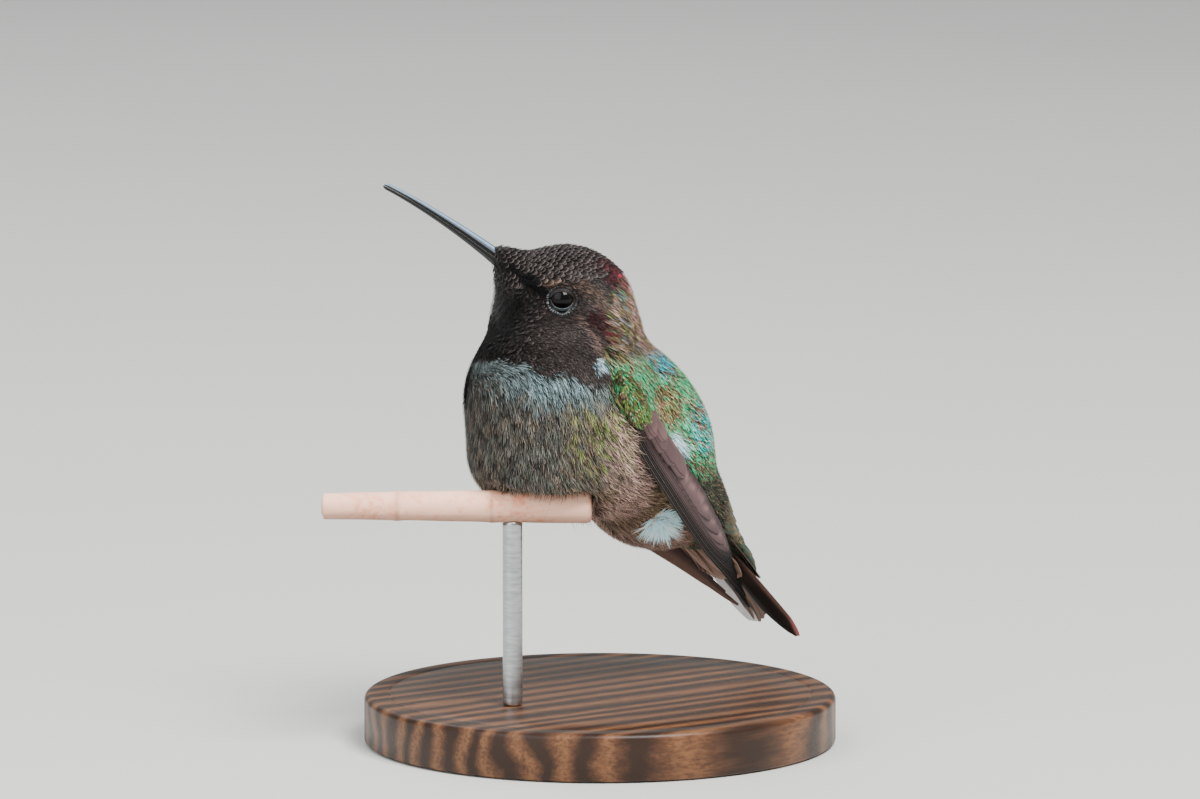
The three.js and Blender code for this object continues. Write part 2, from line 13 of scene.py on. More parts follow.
import bpy
import numpy as np
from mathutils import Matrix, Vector


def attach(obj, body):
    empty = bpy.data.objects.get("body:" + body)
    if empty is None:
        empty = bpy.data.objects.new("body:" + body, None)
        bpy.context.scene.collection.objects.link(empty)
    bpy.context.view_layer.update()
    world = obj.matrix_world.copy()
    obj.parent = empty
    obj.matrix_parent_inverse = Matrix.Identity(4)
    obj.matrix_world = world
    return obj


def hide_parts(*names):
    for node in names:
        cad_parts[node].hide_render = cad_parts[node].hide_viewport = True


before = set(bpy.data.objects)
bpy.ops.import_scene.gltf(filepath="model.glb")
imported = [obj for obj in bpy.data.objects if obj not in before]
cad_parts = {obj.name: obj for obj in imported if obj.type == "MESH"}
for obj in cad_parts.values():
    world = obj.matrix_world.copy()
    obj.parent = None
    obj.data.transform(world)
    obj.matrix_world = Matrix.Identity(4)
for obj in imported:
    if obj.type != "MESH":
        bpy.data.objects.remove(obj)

log = logging.getLogger("hummingbird")
Array = np.ndarray
Mesh = tuple[Array, Array]  # points, and faces as rows of their numbers
Shares = tuple[Array, Array]  # places on a surface, down its rows and round them
Spot = tuple[float, float, float]
Material = bpy.types.Material
Socket = bpy.types.NodeSocket
METRES = 0.001  # one millimetre
UP = np.array([0, 0, 1.0])
PATCH = 0.003  # the width of one tuft's patch on the coat's own map


class Side(Enum):
    """The bird's own sides."""

    LEFT = 1
    RIGHT = -1

    @property
    def word(self) -> str:
        """The side's name, as pieces and nodes have it."""
        return self.name.lower()

    @property
    def mirror(self) -> Array:
        """What carries points of the left side over to this one."""
        return np.array([self.value, 1, 1])


class Layer(Enum):
    """What a feathered surface is made for: the skin itself, or the lie of the coat over it."""

    SKIN = "skin"
    COAT = "coat"


# ---------------------------------------------------------------- small sums on whole arrays


def unit(v: Array) -> Array:
    """Vectors scaled to length one."""
    return v / np.maximum(np.linalg.norm(v, axis=-1, keepdims=True), 1e-12)


def ramp(x: Array, start: float, end: float) -> Array:
    """A smooth step: 0 at start, 1 at end, and 3t^2 - 2t^3 between them."""
    t = np.clip((np.asarray(x, float) - start) / (end - start), 0, 1)
    return t * t * (3 - 2 * t)


def mix(a: Array, b: Array, share: Array) -> Array:
    """Values between a and b, for a share of 0 to 1."""
    return a + (b - a) * share


def melt_max(a: Array, b: Array, soft: float) -> Array:
    """The larger of two fields, rounded where they meet: (a + b + sqrt((a-b)^2 + soft^2)) / 2."""
    return (a + b + np.sqrt((a - b) ** 2 + soft * soft)) / 2


def bell(x: Array, width: float) -> Array:
    """1 at x = 0, falling to both sides as exp(-(x / width)^2)."""
    return np.exp(-((x / width) ** 2))


def circle(count: int) -> Array:
    """Angles once round, evenly spaced."""
    return np.linspace(0, 2 * np.pi, count, endpoint=False)


def distance(p: Array, at: Spot | Array) -> Array:
    """How far points lie from a place."""
    return np.linalg.norm(p - np.array(at), axis=-1)


def summed(steps: Array) -> Array:
    """A running total from 0, with each step the mean of two neighbours."""
    return np.concatenate([[0], np.cumsum((steps[1:] + steps[:-1]) / 2)])


def srgb(red: float, green: float, blue: float) -> Array:
    """A colour given in 0 to 255 display values, as linear light."""
    c = np.array([red, green, blue], float) / 255
    return np.where(c <= 0.04045, c / 12.92, ((c + 0.055) / 1.055) ** 2.4)


def shade(red: float, green: float, blue: float) -> Array:
    """A dataclass's colour, given in display values."""
    return field(default_factory=lambda: srgb(red, green, blue))


def heading(pitch: float, turn: float) -> Array:
    """Directions (side, fore, up) of a part pitched nose-up and turned to the bird's right, in degrees."""
    p, t = math.radians(pitch), math.radians(turn)
    fore = np.array([-math.sin(t) * math.cos(p), -math.cos(t) * math.cos(p), math.sin(p)])
    side = np.array([math.cos(t), -math.sin(t), 0.0])
    return np.array([side, fore, np.cross(fore, side)])


@dataclass(frozen=True)
class Curve:
    """A centripetal Catmull-Rom curve through its knots, with a parameter from 0 to 1."""

    knots: tuple[Spot, ...]

    def at(self, t: Array) -> Array:
        """Points on the curve.

        Args:
            t: shares of the way along, counted evenly by knots.

        Returns:
            One point for each share. Each span is the cubic whose end slopes come from the knots on both
            sides, weighted by the square roots of their distances.
        """
        k = np.asarray(self.knots, float)
        k = np.vstack([2 * k[0] - k[1], k, 2 * k[-1] - k[-2]])
        t = np.clip(np.asarray(t, float), 0, 1) * (len(self.knots) - 1)
        i = np.minimum(t.astype(int), len(self.knots) - 2)
        w = (t - i)[..., None]
        p0, p1, p2, p3 = (k[i + n] for n in range(4))
        spans = (p1 - p0, p2 - p1, p3 - p2)
        d0, d1, d2 = (np.sqrt(np.linalg.norm(d, axis=-1, keepdims=True)) for d in spans)
        start = ((p1 - p0) / d0 - (p2 - p0) / (d0 + d1) + (p2 - p1) / d1) * d1
        end = ((p2 - p1) / d1 - (p3 - p1) / (d1 + d2) + (p3 - p2) / d2) * d1
        square = (-3 * p1 + 3 * p2 - 2 * start - end) * w**2
        return p1 + start * w + square + (2 * p1 - 2 * p2 + start + end) * w**3

    def along(self, t: Array) -> Array:
        """Unit directions along the curve, from a small step each way."""
        t = np.asarray(t, float)
        return unit(self.at(t + 1e-3) - self.at(t - 1e-3))


# ---------------------------------------------------------------- making meshes


@dataclass
class Piece:
    """A mesh in the making: points, faces, and what its points carry."""

    name: str
    points: Array
    faces: Array
    colours: dict[str, Array] = field(default_factory=dict)
    values: dict[str, Array] = field(default_factory=dict)
    maps: dict[str, Array] = field(default_factory=dict)

    def build(self, finish: Material, slot: str, replaces: tuple[str, ...] = ()) -> bpy.types.Object:
        """Makes the Blender object and rides it on the root.

        Args:
            finish: the material that the piece wears.
            slot: the material slot that it belongs to; not used.
            replaces: CAD nodes that this piece stands for.

        Returns:
            The object, at the origin, with its place in its mesh.
        """
        mesh = bpy.data.meshes.new(self.name)
        count, corners = self.faces.shape
        mesh.vertices.add(len(self.points))
        mesh.vertices.foreach_set("co", (self.points * METRES).astype(np.float32).ravel())
        mesh.loops.add(count * corners)
        mesh.polygons.add(count)
        mesh.polygons.foreach_set("loop_start", np.arange(count, dtype=np.int32) * corners)
        mesh.polygons.foreach_set("vertices", self.faces.astype(np.int32).ravel())
        mesh.update(calc_edges=True)
        mesh.polygons.foreach_set("use_smooth", np.ones(count, bool))
        for name, rgb in self.colours.items():
            rgba = np.ones((len(self.points), 4), np.float32)
            rgba[:, :3] = rgb
            mesh.color_attributes.new(name, "FLOAT_COLOR", "POINT").data.foreach_set("color", rgba.ravel())
        for name, number in self.values.items():
            layer = mesh.attributes.new(name, "FLOAT", "POINT")
            layer.data.foreach_set("value", number.astype(np.float32))
        for name, uv in self.maps.items():
            per_corner = uv if len(uv) == count * corners else uv[self.faces.ravel()]
            mesh.uv_layers.new(name=name).uv.foreach_set("vector", per_corner.astype(np.float32).ravel())
        mesh.materials.append(finish)
        thing = bpy.data.objects.new(self.name, mesh)
        bpy.context.collection.objects.link(thing)
        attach(thing, "root")
        if replaces:
            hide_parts(*replaces)
        log.info("%s: %d points, %d triangles", self.name, len(self.points), count * (corners - 2))
        return thing


def grid_faces(rows: int, columns: int, closed: bool = False) -> Array:
    """Quads over a grid of points in row order, joined round across the columns where it is closed."""
    i = np.arange(rows - 1)[:, None]
    j = np.arange(columns if closed else columns - 1)[None, :]
    right = (j + 1) % columns
    a, b = i * columns + j, i * columns + right
    return np.stack([a, b, b + columns, a + columns], -1).reshape(-1, 4)


def capped_faces(rows: int, columns: int) -> Array:
    """Triangles over closed rings in row order, with a fan to each of two points that come after them."""
    quads = grid_faces(rows, columns, closed=True)
    j = np.arange(columns)
    right = (j + 1) % columns
    start, end = np.full(columns, rows * columns), np.full(columns, rows * columns + 1)
    base = (rows - 1) * columns
    fans = [np.stack([start, right, j], -1), np.stack([end, base + j, base + right], -1)]
    return np.vstack([quads[:, [0, 1, 2]], quads[:, [0, 2, 3]], *fans])


def tube(rings: Array) -> Mesh:
    """A closed skin over rings of points, each end drawn to the middle of its ring.

    Args:
        rings: points of shape (rows, columns, 3); each ring runs once round.

    Returns:
        The points and triangles, turned to face outwards by the sign of the volume that they hold.
    """
    points = np.vstack([rings.reshape(-1, 3), rings[0].mean(0), rings[-1].mean(0)])
    faces = capped_faces(*rings.shape[:2])
    a, b, c = (points[faces[:, n]] - points.mean(0) for n in range(3))
    return points, faces if (a * np.cross(b, c)).sum() > 0 else faces[:, ::-1]


def joined(parts: list[Mesh]) -> Mesh:
    """Several meshes as one, their points counted on from each other."""
    starts = np.cumsum([0] + [len(points) for points, _ in parts[:-1]])
    return np.vstack([p for p, _ in parts]), np.vstack([f + n for (_, f), n in zip(parts, starts)])


def sweep(path: Array, radius: Array, sides: int, flat: float = 1.0, up: Array | None = None) -> Array:
    """Rings round a path: each is an oval of the given radius, square to the path.

    Args:
        path: points along the middle.
        radius: one radius for each point.
        sides: points round each ring.
        flat: height of the oval as a share of its width.
        up: the direction that the oval's height is nearest to.

    Returns:
        Points of shape (rows, sides, 3).
    """
    along = unit(np.gradient(path, axis=0))
    guess = np.array([0.31, 0.22, 0.93]) if up is None else up
    across = unit(np.cross(along, np.broadcast_to(guess, along.shape)))
    rise = np.cross(across, along)
    turn = circle(sides)
    ring = np.cos(turn)[None, :, None] * across[:, None] + flat * np.sin(turn)[None, :, None] * rise[:, None]
    return path[:, None] + radius[:, None, None] * ring


# ---------------------------------------------------------------- the form


@dataclass(frozen=True)
class Lobe:
    """One rounded mass of the plumage: its middle, half sizes (side, fore, up), pitch and turn."""

    at: Array
    half: Spot
    pitch: float
    turn: float = 0.0


@dataclass(frozen=True)
class Head:
    """Where the head is and how it is turned."""

    at: Spot = (-2.6, -3.6, 57.0)
    turn: float = 40.0
    bill_rise: float = 34.5

    @property
    def axes(self) -> Array:
        """The head's level directions: side, fore and up."""
        return heading(0, self.turn)

    def place(self, fore: Array, side: Array, up: Array) -> Array:
        """Points given in the head's own directions."""
        s, f, u = self.axes
        fore, side, up = (np.asarray(x, float)[..., None] for x in (fore, side, up))
        return np.array(self.at) + fore * f + side * s + up * u

    def coordinates(self, p: Array) -> tuple[Array, Array, Array]:
        """How far points lie in front of, beside and above the middle of the head."""
        s, f, u = self.axes
        d = p - np.array(self.at)
        return d @ f, d @ s, d @ u


@dataclass(frozen=True)
class Perch:
    """The cut twig's line and thickness."""

    turn: float = 50.0
    height: float = 31.4
    offset: float = 9.4
    end: float = -1.0
    length: float = 34.0
    radius_cut: float = 2.25
    radius_far: float = 1.65

    @property
    def along(self) -> Array:
        """The twig's own direction, towards its cut end."""
        t = math.radians(self.turn)
        return np.array([math.cos(t), math.sin(t), 0.0])

    @property
    def front(self) -> Array:
        """The level direction square to the twig, away from the body."""
        t = math.radians(self.turn)
        return np.array([math.sin(t), -math.cos(t), 0.0])

    def at(self, along: Array) -> Array:
        """Points on the twig's axis."""
        base = np.array([0, 0, self.height]) + self.offset * self.front
        return base + np.asarray(along, float)[..., None] * self.along

    def radius(self, along: Array) -> Array:
        """The twig's radius: it thins evenly away from its cut end."""
        return mix(self.radius_cut, self.radius_far, (self.end - np.asarray(along)) / self.length)

    def round(self, along: Array, degrees: Array, clear: Array) -> Array:
        """Points round the twig, by degrees from its top towards its front, and clear of its bark."""
        turn = np.radians(np.asarray(degrees, float))[..., None]
        r = (self.radius(along) + clear)[..., None]
        return self.at(along) + r * (np.sin(turn) * self.front + np.cos(turn) * UP)


@dataclass
class WingSheet:
    """The curved sheet that the folded left wing lies on; the right wing's is its mirror image."""

    leading: Curve = Curve(
        ((12.5, -8.5, 49.4), (14.3, -5.5, 41.0), (13.0, 1.4, 33.0))
        + ((8.8, 11.0, 24.6), (6.0, 17.4, 19.9), (2.4, 24.6, 14.1))
    )
    trailing: Curve = Curve(
        ((12.7, -5.6, 49.7), (13.5, -0.9, 41.4), (11.4, 6.7, 33.6))
        + ((7.4, 15.7, 25.3), (4.9, 20.2, 21.0), (2.4, 24.9, 14.6))
    )
    bulge: float = 0.1
    lengthwise: Spot = (0.0, 0.62, -0.785)

    def axes(self, along: Array) -> tuple[Array, Array, Array]:
        """The leading edge, the vector across to the trailing edge, and the outward face."""
        a = self.leading.at(along)
        back = self.trailing.at(along) - a
        face = unit(np.cross(self.leading.along(along), back))
        face = np.where(face[..., :1] < 0, -face, face)
        return a, back, face

    def at(self, along: Array, across: Array, out: Array, side: Side = Side.LEFT) -> Array:
        """Points by shares along and across the wing and millimetres outwards.

        The sheet swells outwards between its edges by bulge x width x across x (1 - across).
        """
        along, across, out = np.broadcast_arrays(*(np.asarray(x, float) for x in (along, across, out)))
        a, back, face = self.axes(along)
        width = np.linalg.norm(back, axis=-1)
        lift = out + self.bulge * width * across * (1 - across)
        p = a + back * across[..., None] + face * lift[..., None]
        return p * side.mirror

    def coordinates(self, p: Array) -> tuple[Array, Array, Array, Array]:
        """Where points lie over the nearer wing.

        Args:
            p: points of shape (count, 3).

        Returns:
            The share along, from the point's place on one lengthwise direction, the share across,
            millimetres outwards, and the wing's width there.
        """
        q = np.abs(p) * np.array([1, 0, 0]) + p * np.array([0, 1, 1])
        t = np.linspace(0, 1, 241)
        a, back, face = self.axes(t)
        way = (a + back / 2) @ np.array(self.lengthwise)
        along = np.interp(q @ np.array(self.lengthwise), way, t)
        table = np.hstack([a, back, face])
        a, back, face = np.split(np.stack([np.interp(along, t, c) for c in table.T], -1), 3, axis=-1)
        width = np.linalg.norm(back, axis=-1)
        d = q - a
        across = (d * back).sum(-1) / width**2
        out = (d * unit(face)).sum(-1) - self.bulge * width * across * (1 - across)
        return along, across, out, width


@dataclass
class Form:
    """The whole feathered shape as one field, below zero inside."""

    head: Head = field(default_factory=Head)
    perch: Perch = field(default_factory=Perch)
    wing: WingSheet = field(default_factory=WingSheet)
    sharp: float = 1.25
    hollow_ahead: float = 1.4
    hollow_below: float = 2.8
    hollow_radius: float = 5.75
    hollow_past: float = -0.15
    pocket_floor: float = -1.75
    pocket_edge: float = 0.2
    spine_ease: float = 0.16
    turn_ends: float = 0.36

    def __post_init__(self) -> None:
        """Sets out the lobes and the spine."""
        at, turn = self.head.place, self.head.turn
        self.lobes = (
            Lobe(at(-0.8, 0, -0.1), (6.6, 7.9, 6.4), 14, turn),
            Lobe(at(5.2, 0, 2.4), (2.4, 4.0, 2.1), self.head.bill_rise, turn),
            Lobe(at(6.45, 0, 1.5), (1.3, 1.8, 1.6), 0, turn),
            Lobe(at(6.7, 0, 4.8), (0.8, 1.7, 0.5), self.head.bill_rise - 4, turn),
            Lobe(at(3.6, 0, -3.4), (6.5, 5.9, 6.0), 64, turn),
            Lobe(at(-2.2, 0, -4.8), (7.0, 7.4, 5.7), 0, turn),
            Lobe(np.array([0, -6.1, 42.8]), (13.0, 13.7, 12.0), 68),
            Lobe(np.array([0, -3.3, 39.0]), (12.3, 13.2, 8.8), 32),
            Lobe(np.array([0, -11.3, 36.7]), (9.5, 7.0, 6.5), 40),
            Lobe(np.array([0, 5.8, 40.0]), (11.0, 12.9, 8.1), 60),
            Lobe(np.array([0, 7.2, 30.6]), (8.6, 8.2, 6.5), 34),
            Lobe(np.array([0, 12.5, 31.0]), (7.0, 9.4, 5.2), 54),
            Lobe(np.array([0, 18.9, 24.9]), (4.3, 9.2, 1.5), 46),
        )
        knots = [at(4.4, 0, 2.6), at(0.2, 0, -1.4), (-1.2, -2.4, 50.2), (0, -1.4, 44.2)]
        knots += [(0, 0.8, 38.0), (0, 6.6, 32.6), (0, 13.6, 28.2), (0, 19.8, 23.9)]
        self.spine = Curve(tuple(tuple(float(x) for x in k) for k in knots))

    def lobe_field(self, p: Array) -> Array:
        """Lobes melted together: -log(sum of exp(-sharp x depth)) / sharp, over each lobe's own depth."""
        total = np.zeros(len(p))
        for lobe in self.lobes:
            q = (p - lobe.at) @ heading(lobe.pitch, lobe.turn).T / np.array(lobe.half)
            total += np.exp(-self.sharp * (np.linalg.norm(q, axis=-1) - 1) * min(lobe.half))
        return -np.log(np.maximum(total, 1e-300)) / self.sharp

    def hollow_field(self, p: Array) -> Array:
        """The groove over the twig: a cylinder with a rounded rim, below zero inside."""
        perch = self.perch
        centre = perch.at(0.0) + self.hollow_ahead * perch.front - np.array([0, 0, self.hollow_below])
        d = p - centre
        way = d @ perch.along
        off = np.linalg.norm(d - way[:, None] * perch.along, axis=-1)
        rim = 1.2
        over = off - (self.hollow_radius - rim)
        past = way - (perch.end + self.hollow_past - rim)
        inner = np.minimum(np.maximum(over, past), 0)
        return np.hypot(np.maximum(over, 0), np.maximum(past, 0)) + inner - rim

    def pocket_field(self, p: Array) -> Array:
        """The room under a folded wing: past its edges and above its floor, below zero inside."""
        along, across, out, width = self.wing.coordinates(p)
        aside = np.maximum(-across * width, (across - 1) * width) - self.pocket_edge
        start = (0.05 - along) * 40
        return melt_max(melt_max(aside, self.pocket_floor - out, 0.5), start, 0.5)

    def value(self, p: Array, layer: Layer) -> Array:
        """The form's field with its hollows cut: for the coat the twig's, for the skin the wings' as well."""
        f = melt_max(self.lobe_field(p), -self.hollow_field(p), 0.35)
        if layer is Layer.SKIN:
            f = melt_max(f, -self.pocket_field(p), 0.35)
        return f

    def frames(self, s: Array) -> tuple[Array, Array, Array]:
        """The spine's point, side and belly directions: its side starts as the head's and turns home."""
        ahead, behind = self.spine.at(s + self.spine_ease), self.spine.at(s - self.spine_ease)
        tangent = unit(ahead - behind)
        turn = np.radians(self.head.turn * (1 - ramp(s, 0, self.turn_ends)))
        side = np.stack([np.cos(turn), -np.sin(turn), 0 * turn], -1)
        side = unit(side - (side * tangent).sum(-1, keepdims=True) * tangent)
        belly = np.cross(tangent, side)
        belly = np.where(belly[..., 2:] > 0, -belly, belly)
        return self.spine.at(s), side, belly


@dataclass
class Surface:
    """A closed surface on a grid: rows run from bill to tail, columns once round from the belly.

    Columns start at the belly and go by the left side and the back to the right side.
    """

    points: Array

    def __post_init__(self) -> None:
        """Finds slopes and outward normals from neighbouring points."""
        p = self.points
        wrap = np.concatenate([p[:, -1:], p, p[:, :1]], axis=1)
        self.rows, self.columns = p.shape[:2]
        self.down = np.gradient(p, axis=0) * (self.rows - 1)
        self.round = (wrap[:, 2:] - wrap[:, :-2]) / 2 * self.columns
        self.normal = unit(np.cross(self.round, self.down))
        middle = p.mean(1, keepdims=True)
        if ((p - middle) * self.normal).sum() < 0:
            self.normal = -self.normal
        self.area = np.linalg.norm(np.cross(self.down, self.round), axis=-1)

    @classmethod
    def over(cls, form: Form, layer: Layer, rows: int, columns: int) -> "Surface":
        """Meshes the form by rays from its spine.

        Args:
            form: the field to mesh.
            layer: which of its hollows are cut.
            rows: rings from pole to pole.
            columns: points round each ring.

        Returns:
            The surface. A ray leaves the spine square to it, or leans over to the pole at each end; it
            is marched until the field changes sign and the crossing is then halved down to.
        """
        v = np.linspace(0, 1, rows)
        front, rear = 0.12, 0.08
        s = np.clip((v - front) / (1 - front - rear), 0, 1)
        lean = np.maximum(np.maximum(0, (front - v) / front), (v - (1 - rear)) / rear)
        at, side, belly = form.frames(s)
        billward = heading(form.head.bill_rise, form.head.turn)[1]
        tailward = form.spine.along(np.array(1.0))
        pole = np.where((v < 0.5)[:, None], billward, tailward)
        turn = circle(columns)
        out = np.cos(turn)[None, :, None] * belly[:, None] + np.sin(turn)[None, :, None] * side[:, None]
        tip = (np.clip(lean, 0, 0.9999) * np.pi / 2)[:, None, None]
        ray = unit(out * np.cos(tip) + pole[:, None] * np.sin(tip)).reshape(-1, 3)
        start = np.repeat(at, columns, axis=0)
        near = np.zeros(len(ray))
        going = np.ones(len(ray), bool)
        step = 0.6
        for _ in range(44):
            idx = np.flatnonzero(going)
            if not len(idx):
                break
            inside = form.value(start[idx] + ray[idx] * (near[idx] + step)[:, None], layer) < 0
            near[idx[inside]] += step
            going[idx[~inside]] = False
        far = near + step
        for _ in range(11):
            mid = (near + far) / 2
            inside = form.value(start + ray * mid[:, None], layer) < 0
            near, far = np.where(inside, mid, near), np.where(inside, far, mid)
        reach = ((near + far) / 2).reshape(rows, columns)
        points = start.reshape(rows, columns, 3) + ray.reshape(rows, columns, 3) * reach[..., None]
        return cls(cls.unfolded(points, form, layer))

    @staticmethod
    def unfolded(points: Array, form: Form, layer: Layer) -> Array:
        """Lets the grid slide until it has no fold where the throat hangs over the breast.

        Args:
            points: the grid.
            form: the field that it lies on.
            layer: which of its hollows are cut.

        Returns:
            The grid, its front half eased towards its neighbours' mean and put back on the field by
            steps of p - f g / |g|^2, with g the field's slope.
        """
        rows = np.linspace(0, 1, len(points))
        ease = (ramp(rows, 0.05, 0.12) * ramp(-rows, -0.52, -0.42))[:, None, None]
        live = np.flatnonzero(ease[:, 0, 0] > 0)
        part = slice(live[0], live[-1] + 1)
        for turn in range(20):
            around = (np.roll(points, 1, axis=1) + np.roll(points, -1, axis=1)) / 2
            down = points.copy()
            down[1:-1] = (points[2:] + points[:-2]) / 2
            points = mix(points, 0.35 * around + 0.65 * down, 0.9 * ease)
            if turn % 4 == 3:
                p = points[part].reshape(-1, 3)
                f = form.value(p, layer)
                eps = 0.02
                slope = np.stack([form.value(p + eps * axis, layer) - f for axis in np.eye(3)], -1) / eps
                square = np.maximum((slope**2).sum(-1), 0.25)
                p = p - np.clip(f / square, -0.5, 0.5)[:, None] * slope
                points[part] = p.reshape(points[part].shape)
        return points

    def look(self, values: Array, v: Array, u: Array) -> Array:
        """Reads a grid between its points, by shares down the rows and round the columns."""
        i = np.clip(v, 0, 1) * (self.rows - 1)
        j = (u % 1.0) * self.columns
        i0 = np.clip(i.astype(int), 0, self.rows - 2)
        j0 = j.astype(int) % self.columns
        j1 = (j0 + 1) % self.columns
        a, b = i - i0, j - np.floor(j)
        if values.ndim == 3:
            a, b = a[..., None], b[..., None]
        top = values[i0, j0] * (1 - b) + values[i0, j1] * b
        low = values[i0 + 1, j0] * (1 - b) + values[i0 + 1, j1] * b
        return top * (1 - a) + low * a

    def scatter(self, spacing: Array, seed: int, jitter: float = 0.3, rows: bool = False) -> Shares:
        """Roots spread evenly over the surface.

        Args:
            spacing: millimetres between neighbours, for each grid point; huge where nothing grows.
            seed: the number that the small disorder starts from.
            jitter: how far roots stray from their even places, as a share of the spacing.
            rows: whether they stand in rows like roof tiles, every second row set over by half a step.

        Returns:
            Shares down and round for each root. Root n of N lies where n / N of the surface's area over
            spacing squared is behind it, and n golden sections round its row; in rows, each row holds
            as many roots as that area between it and the next one.
        """
        weight = self.area / spacing**2
        down = weight.mean(1)
        count = int(down.mean())
        share = np.linspace(0, 1, self.rows)
        grade = summed(down)
        if rows:
            pitch = (np.linalg.norm(self.down, axis=-1) * weight).sum(1) / np.maximum(weight.sum(1), 1e-9)
            pitch = pitch * (weight.max(1) > 0.1 * weight.max()) / (0.93 * spacing.min()) / (self.rows - 1)
            ladder = summed(pitch)
            lines = np.arange(int(ladder[-1]))
            held = np.interp(np.append(lines, len(lines)), ladder, grade / grade[-1] * count)
            each = np.maximum(np.round(np.diff(held)).astype(int), 1)
            line = np.repeat(lines, each)
            place = np.arange(each.sum()) - np.repeat(np.cumsum(each) - each, each)
            v = np.interp(line + 0.5, ladder, share)
            second = ((place + 0.5 * (line % 2)) / each[line] + 0.25 / each[line]) % 1
        else:
            v = np.interp((np.arange(count) + 0.5) / count, grade / grade[-1], share)
            second = (np.arange(count) * (math.sqrt(5) - 1) / 2) % 1
        row = np.clip(np.round(v * (self.rows - 1)).astype(int), 0, self.rows - 1)
        ladder = np.cumsum(weight, axis=1)
        ladder = np.hstack([np.zeros((self.rows, 1)), ladder / ladder[:, -1:]])
        flat = (ladder + np.arange(self.rows)[:, None] * 2.0).ravel()
        target = second + row * 2.0
        pos = np.clip(np.searchsorted(flat, target) - 1, 0, len(flat) - 2)
        column = pos - row * (self.columns + 1)
        gap = np.maximum(flat[pos + 1] - flat[pos], 1e-12)
        u = (column + (target - flat[pos]) / gap) / self.columns
        stray = np.random.default_rng(seed).uniform(-1, 1, (2, len(v))) * jitter * spacing.min()
        v = v + stray[0] / np.linalg.norm(self.look(self.down, v, u), axis=-1)
        u = u + stray[1] / np.linalg.norm(self.look(self.round, v, u), axis=-1)
        grown = spacing[row, column % self.columns] < 20 * spacing.min()
        return np.clip(v, 0.001, 0.999)[grown], (u % 1.0)[grown]

    def plant(self, v: Array, u: Array, swirl: Array) -> "Roots":
        """Roots at places on the surface.

        Args:
            v: shares down the rows.
            u: shares round them.
            swirl: radians that each tuft turns from the run of the rows.

        Returns:
            The roots, with the steps in v and u that a millimetre along and across them makes.
        """
        down, around = self.look(self.down, v, u), self.look(self.round, v, u)
        normal = unit(self.look(self.normal, v, u))
        ahead = unit(down - (down * normal).sum(-1, keepdims=True) * normal)
        aside = np.cross(normal, ahead)
        c, s = np.cos(swirl)[:, None], np.sin(swirl)[:, None]
        along, across = c * ahead + s * aside, c * aside - s * ahead
        e, f, g = (down * down).sum(-1), (down * around).sum(-1), (around * around).sum(-1)
        det = np.maximum(e * g - f * f, 1e-9)

        def steps(way: Array) -> Array:
            """Shares down and round for one millimetre along a direction in the surface."""
            a, b = (way * down).sum(-1), (way * around).sum(-1)
            return np.stack([(g * a - f * b) / det, (e * b - f * a) / det], -1)

        point = self.look(self.points, v, u)
        return Roots(self, v, u, point, along, across, normal, steps(along), steps(across))


@dataclass
class Roots:
    """Where tufts grow on a surface, and the directions that they lie in."""

    surface: Surface
    v: Array
    u: Array
    point: Array
    along: Array
    across: Array
    normal: Array
    step_along: Array
    step_across: Array

    def lay(self, s: Array, x: Array, h: Array, free: Array) -> Array:
        """Points of the tufts, from millimetres along, across and above.

        Args:
            s: millimetres along each tuft, of shape (tufts, ...).
            x: millimetres across it.
            h: millimetres over the surface.
            free: 0 where the tuft follows the surface, 1 where it stands straight out from its root.

        Returns:
            Points of shape (tufts, ..., 3).
        """
        extra = (1,) * (s.ndim - 1)

        def wide(a: Array) -> Array:
            """The roots' own numbers, shaped to go with the tufts' points."""
            return a.reshape((len(a),) + extra + a.shape[1:])

        steps = s[..., None] * wide(self.step_along) + x[..., None] * wide(self.step_across)
        v, u = wide(self.v) + steps[..., 0], wide(self.u) + steps[..., 1]
        shape = v.shape
        grid = self.surface
        on = grid.look(grid.points, v.ravel(), u.ravel()).reshape(*shape, 3)
        out = unit(grid.look(grid.normal, v.ravel(), u.ravel())).reshape(*shape, 3)
        held = on + out * h[..., None]
        straight = wide(self.point) + s[..., None] * wide(self.along)
        straight = straight + x[..., None] * wide(self.across) + h[..., None] * wide(self.normal)
        return mix(held, straight, free[..., None])

    def keep(self, chosen: Array) -> "Roots":
        """Only the chosen roots."""
        rest = [getattr(self, n)[chosen] for n in list(self.__dataclass_fields__)[1:]]
        return Roots(self.surface, *rest)


# ---------------------------------------------------------------- the coat


@dataclass
class Paint:
    """The colours of tufts: at the root, at the tip and at the rim, and how metallic each one gleams."""

    root: Array
    tip: Array
    rim: Array
    gleam: Array

    def lean(self, weight: Array, root: Array, tip: Array, rim: Array, gleam: float = 0.0) -> None:
        """Moves the colours towards another set, by a weight for each tuft."""
        for name, colour in (("root", root), ("tip", tip), ("rim", rim)):
            setattr(self, name, mix(getattr(self, name), colour, weight[:, None]))
        self.gleam = mix(self.gleam, gleam, weight)

    def shaped(self) -> list[Array]:
        """The colours at root, tip and rim, shaped to go with the tufts' points."""
        return [colour[:, None, None] for colour in (self.root, self.tip, self.rim)]


@dataclass(frozen=True)
class Tuft:
    """The make of one kind of small feather, in millimetres."""

    length: float
    width: float  # half of its spread at the tip
    strands: int = 7
    strand: float = 0.07  # half of one strand's width
    rows: int = 4
    lift: float = 0.12
    sink: float = 0.12
    rounded: float = 0.35  # how much shorter the outer strands are
    vary: float = 0.35  # how much the strands differ in brightness
    bend: float = 0.12
    dark: float = 0.3  # the share of the length that keeps the root's colour
    # Dark strands stand in for the shaded gaps between strands: painted shade.
    painted_gap_shade: float = 0.0  # the share of strands that stay dark to their tips


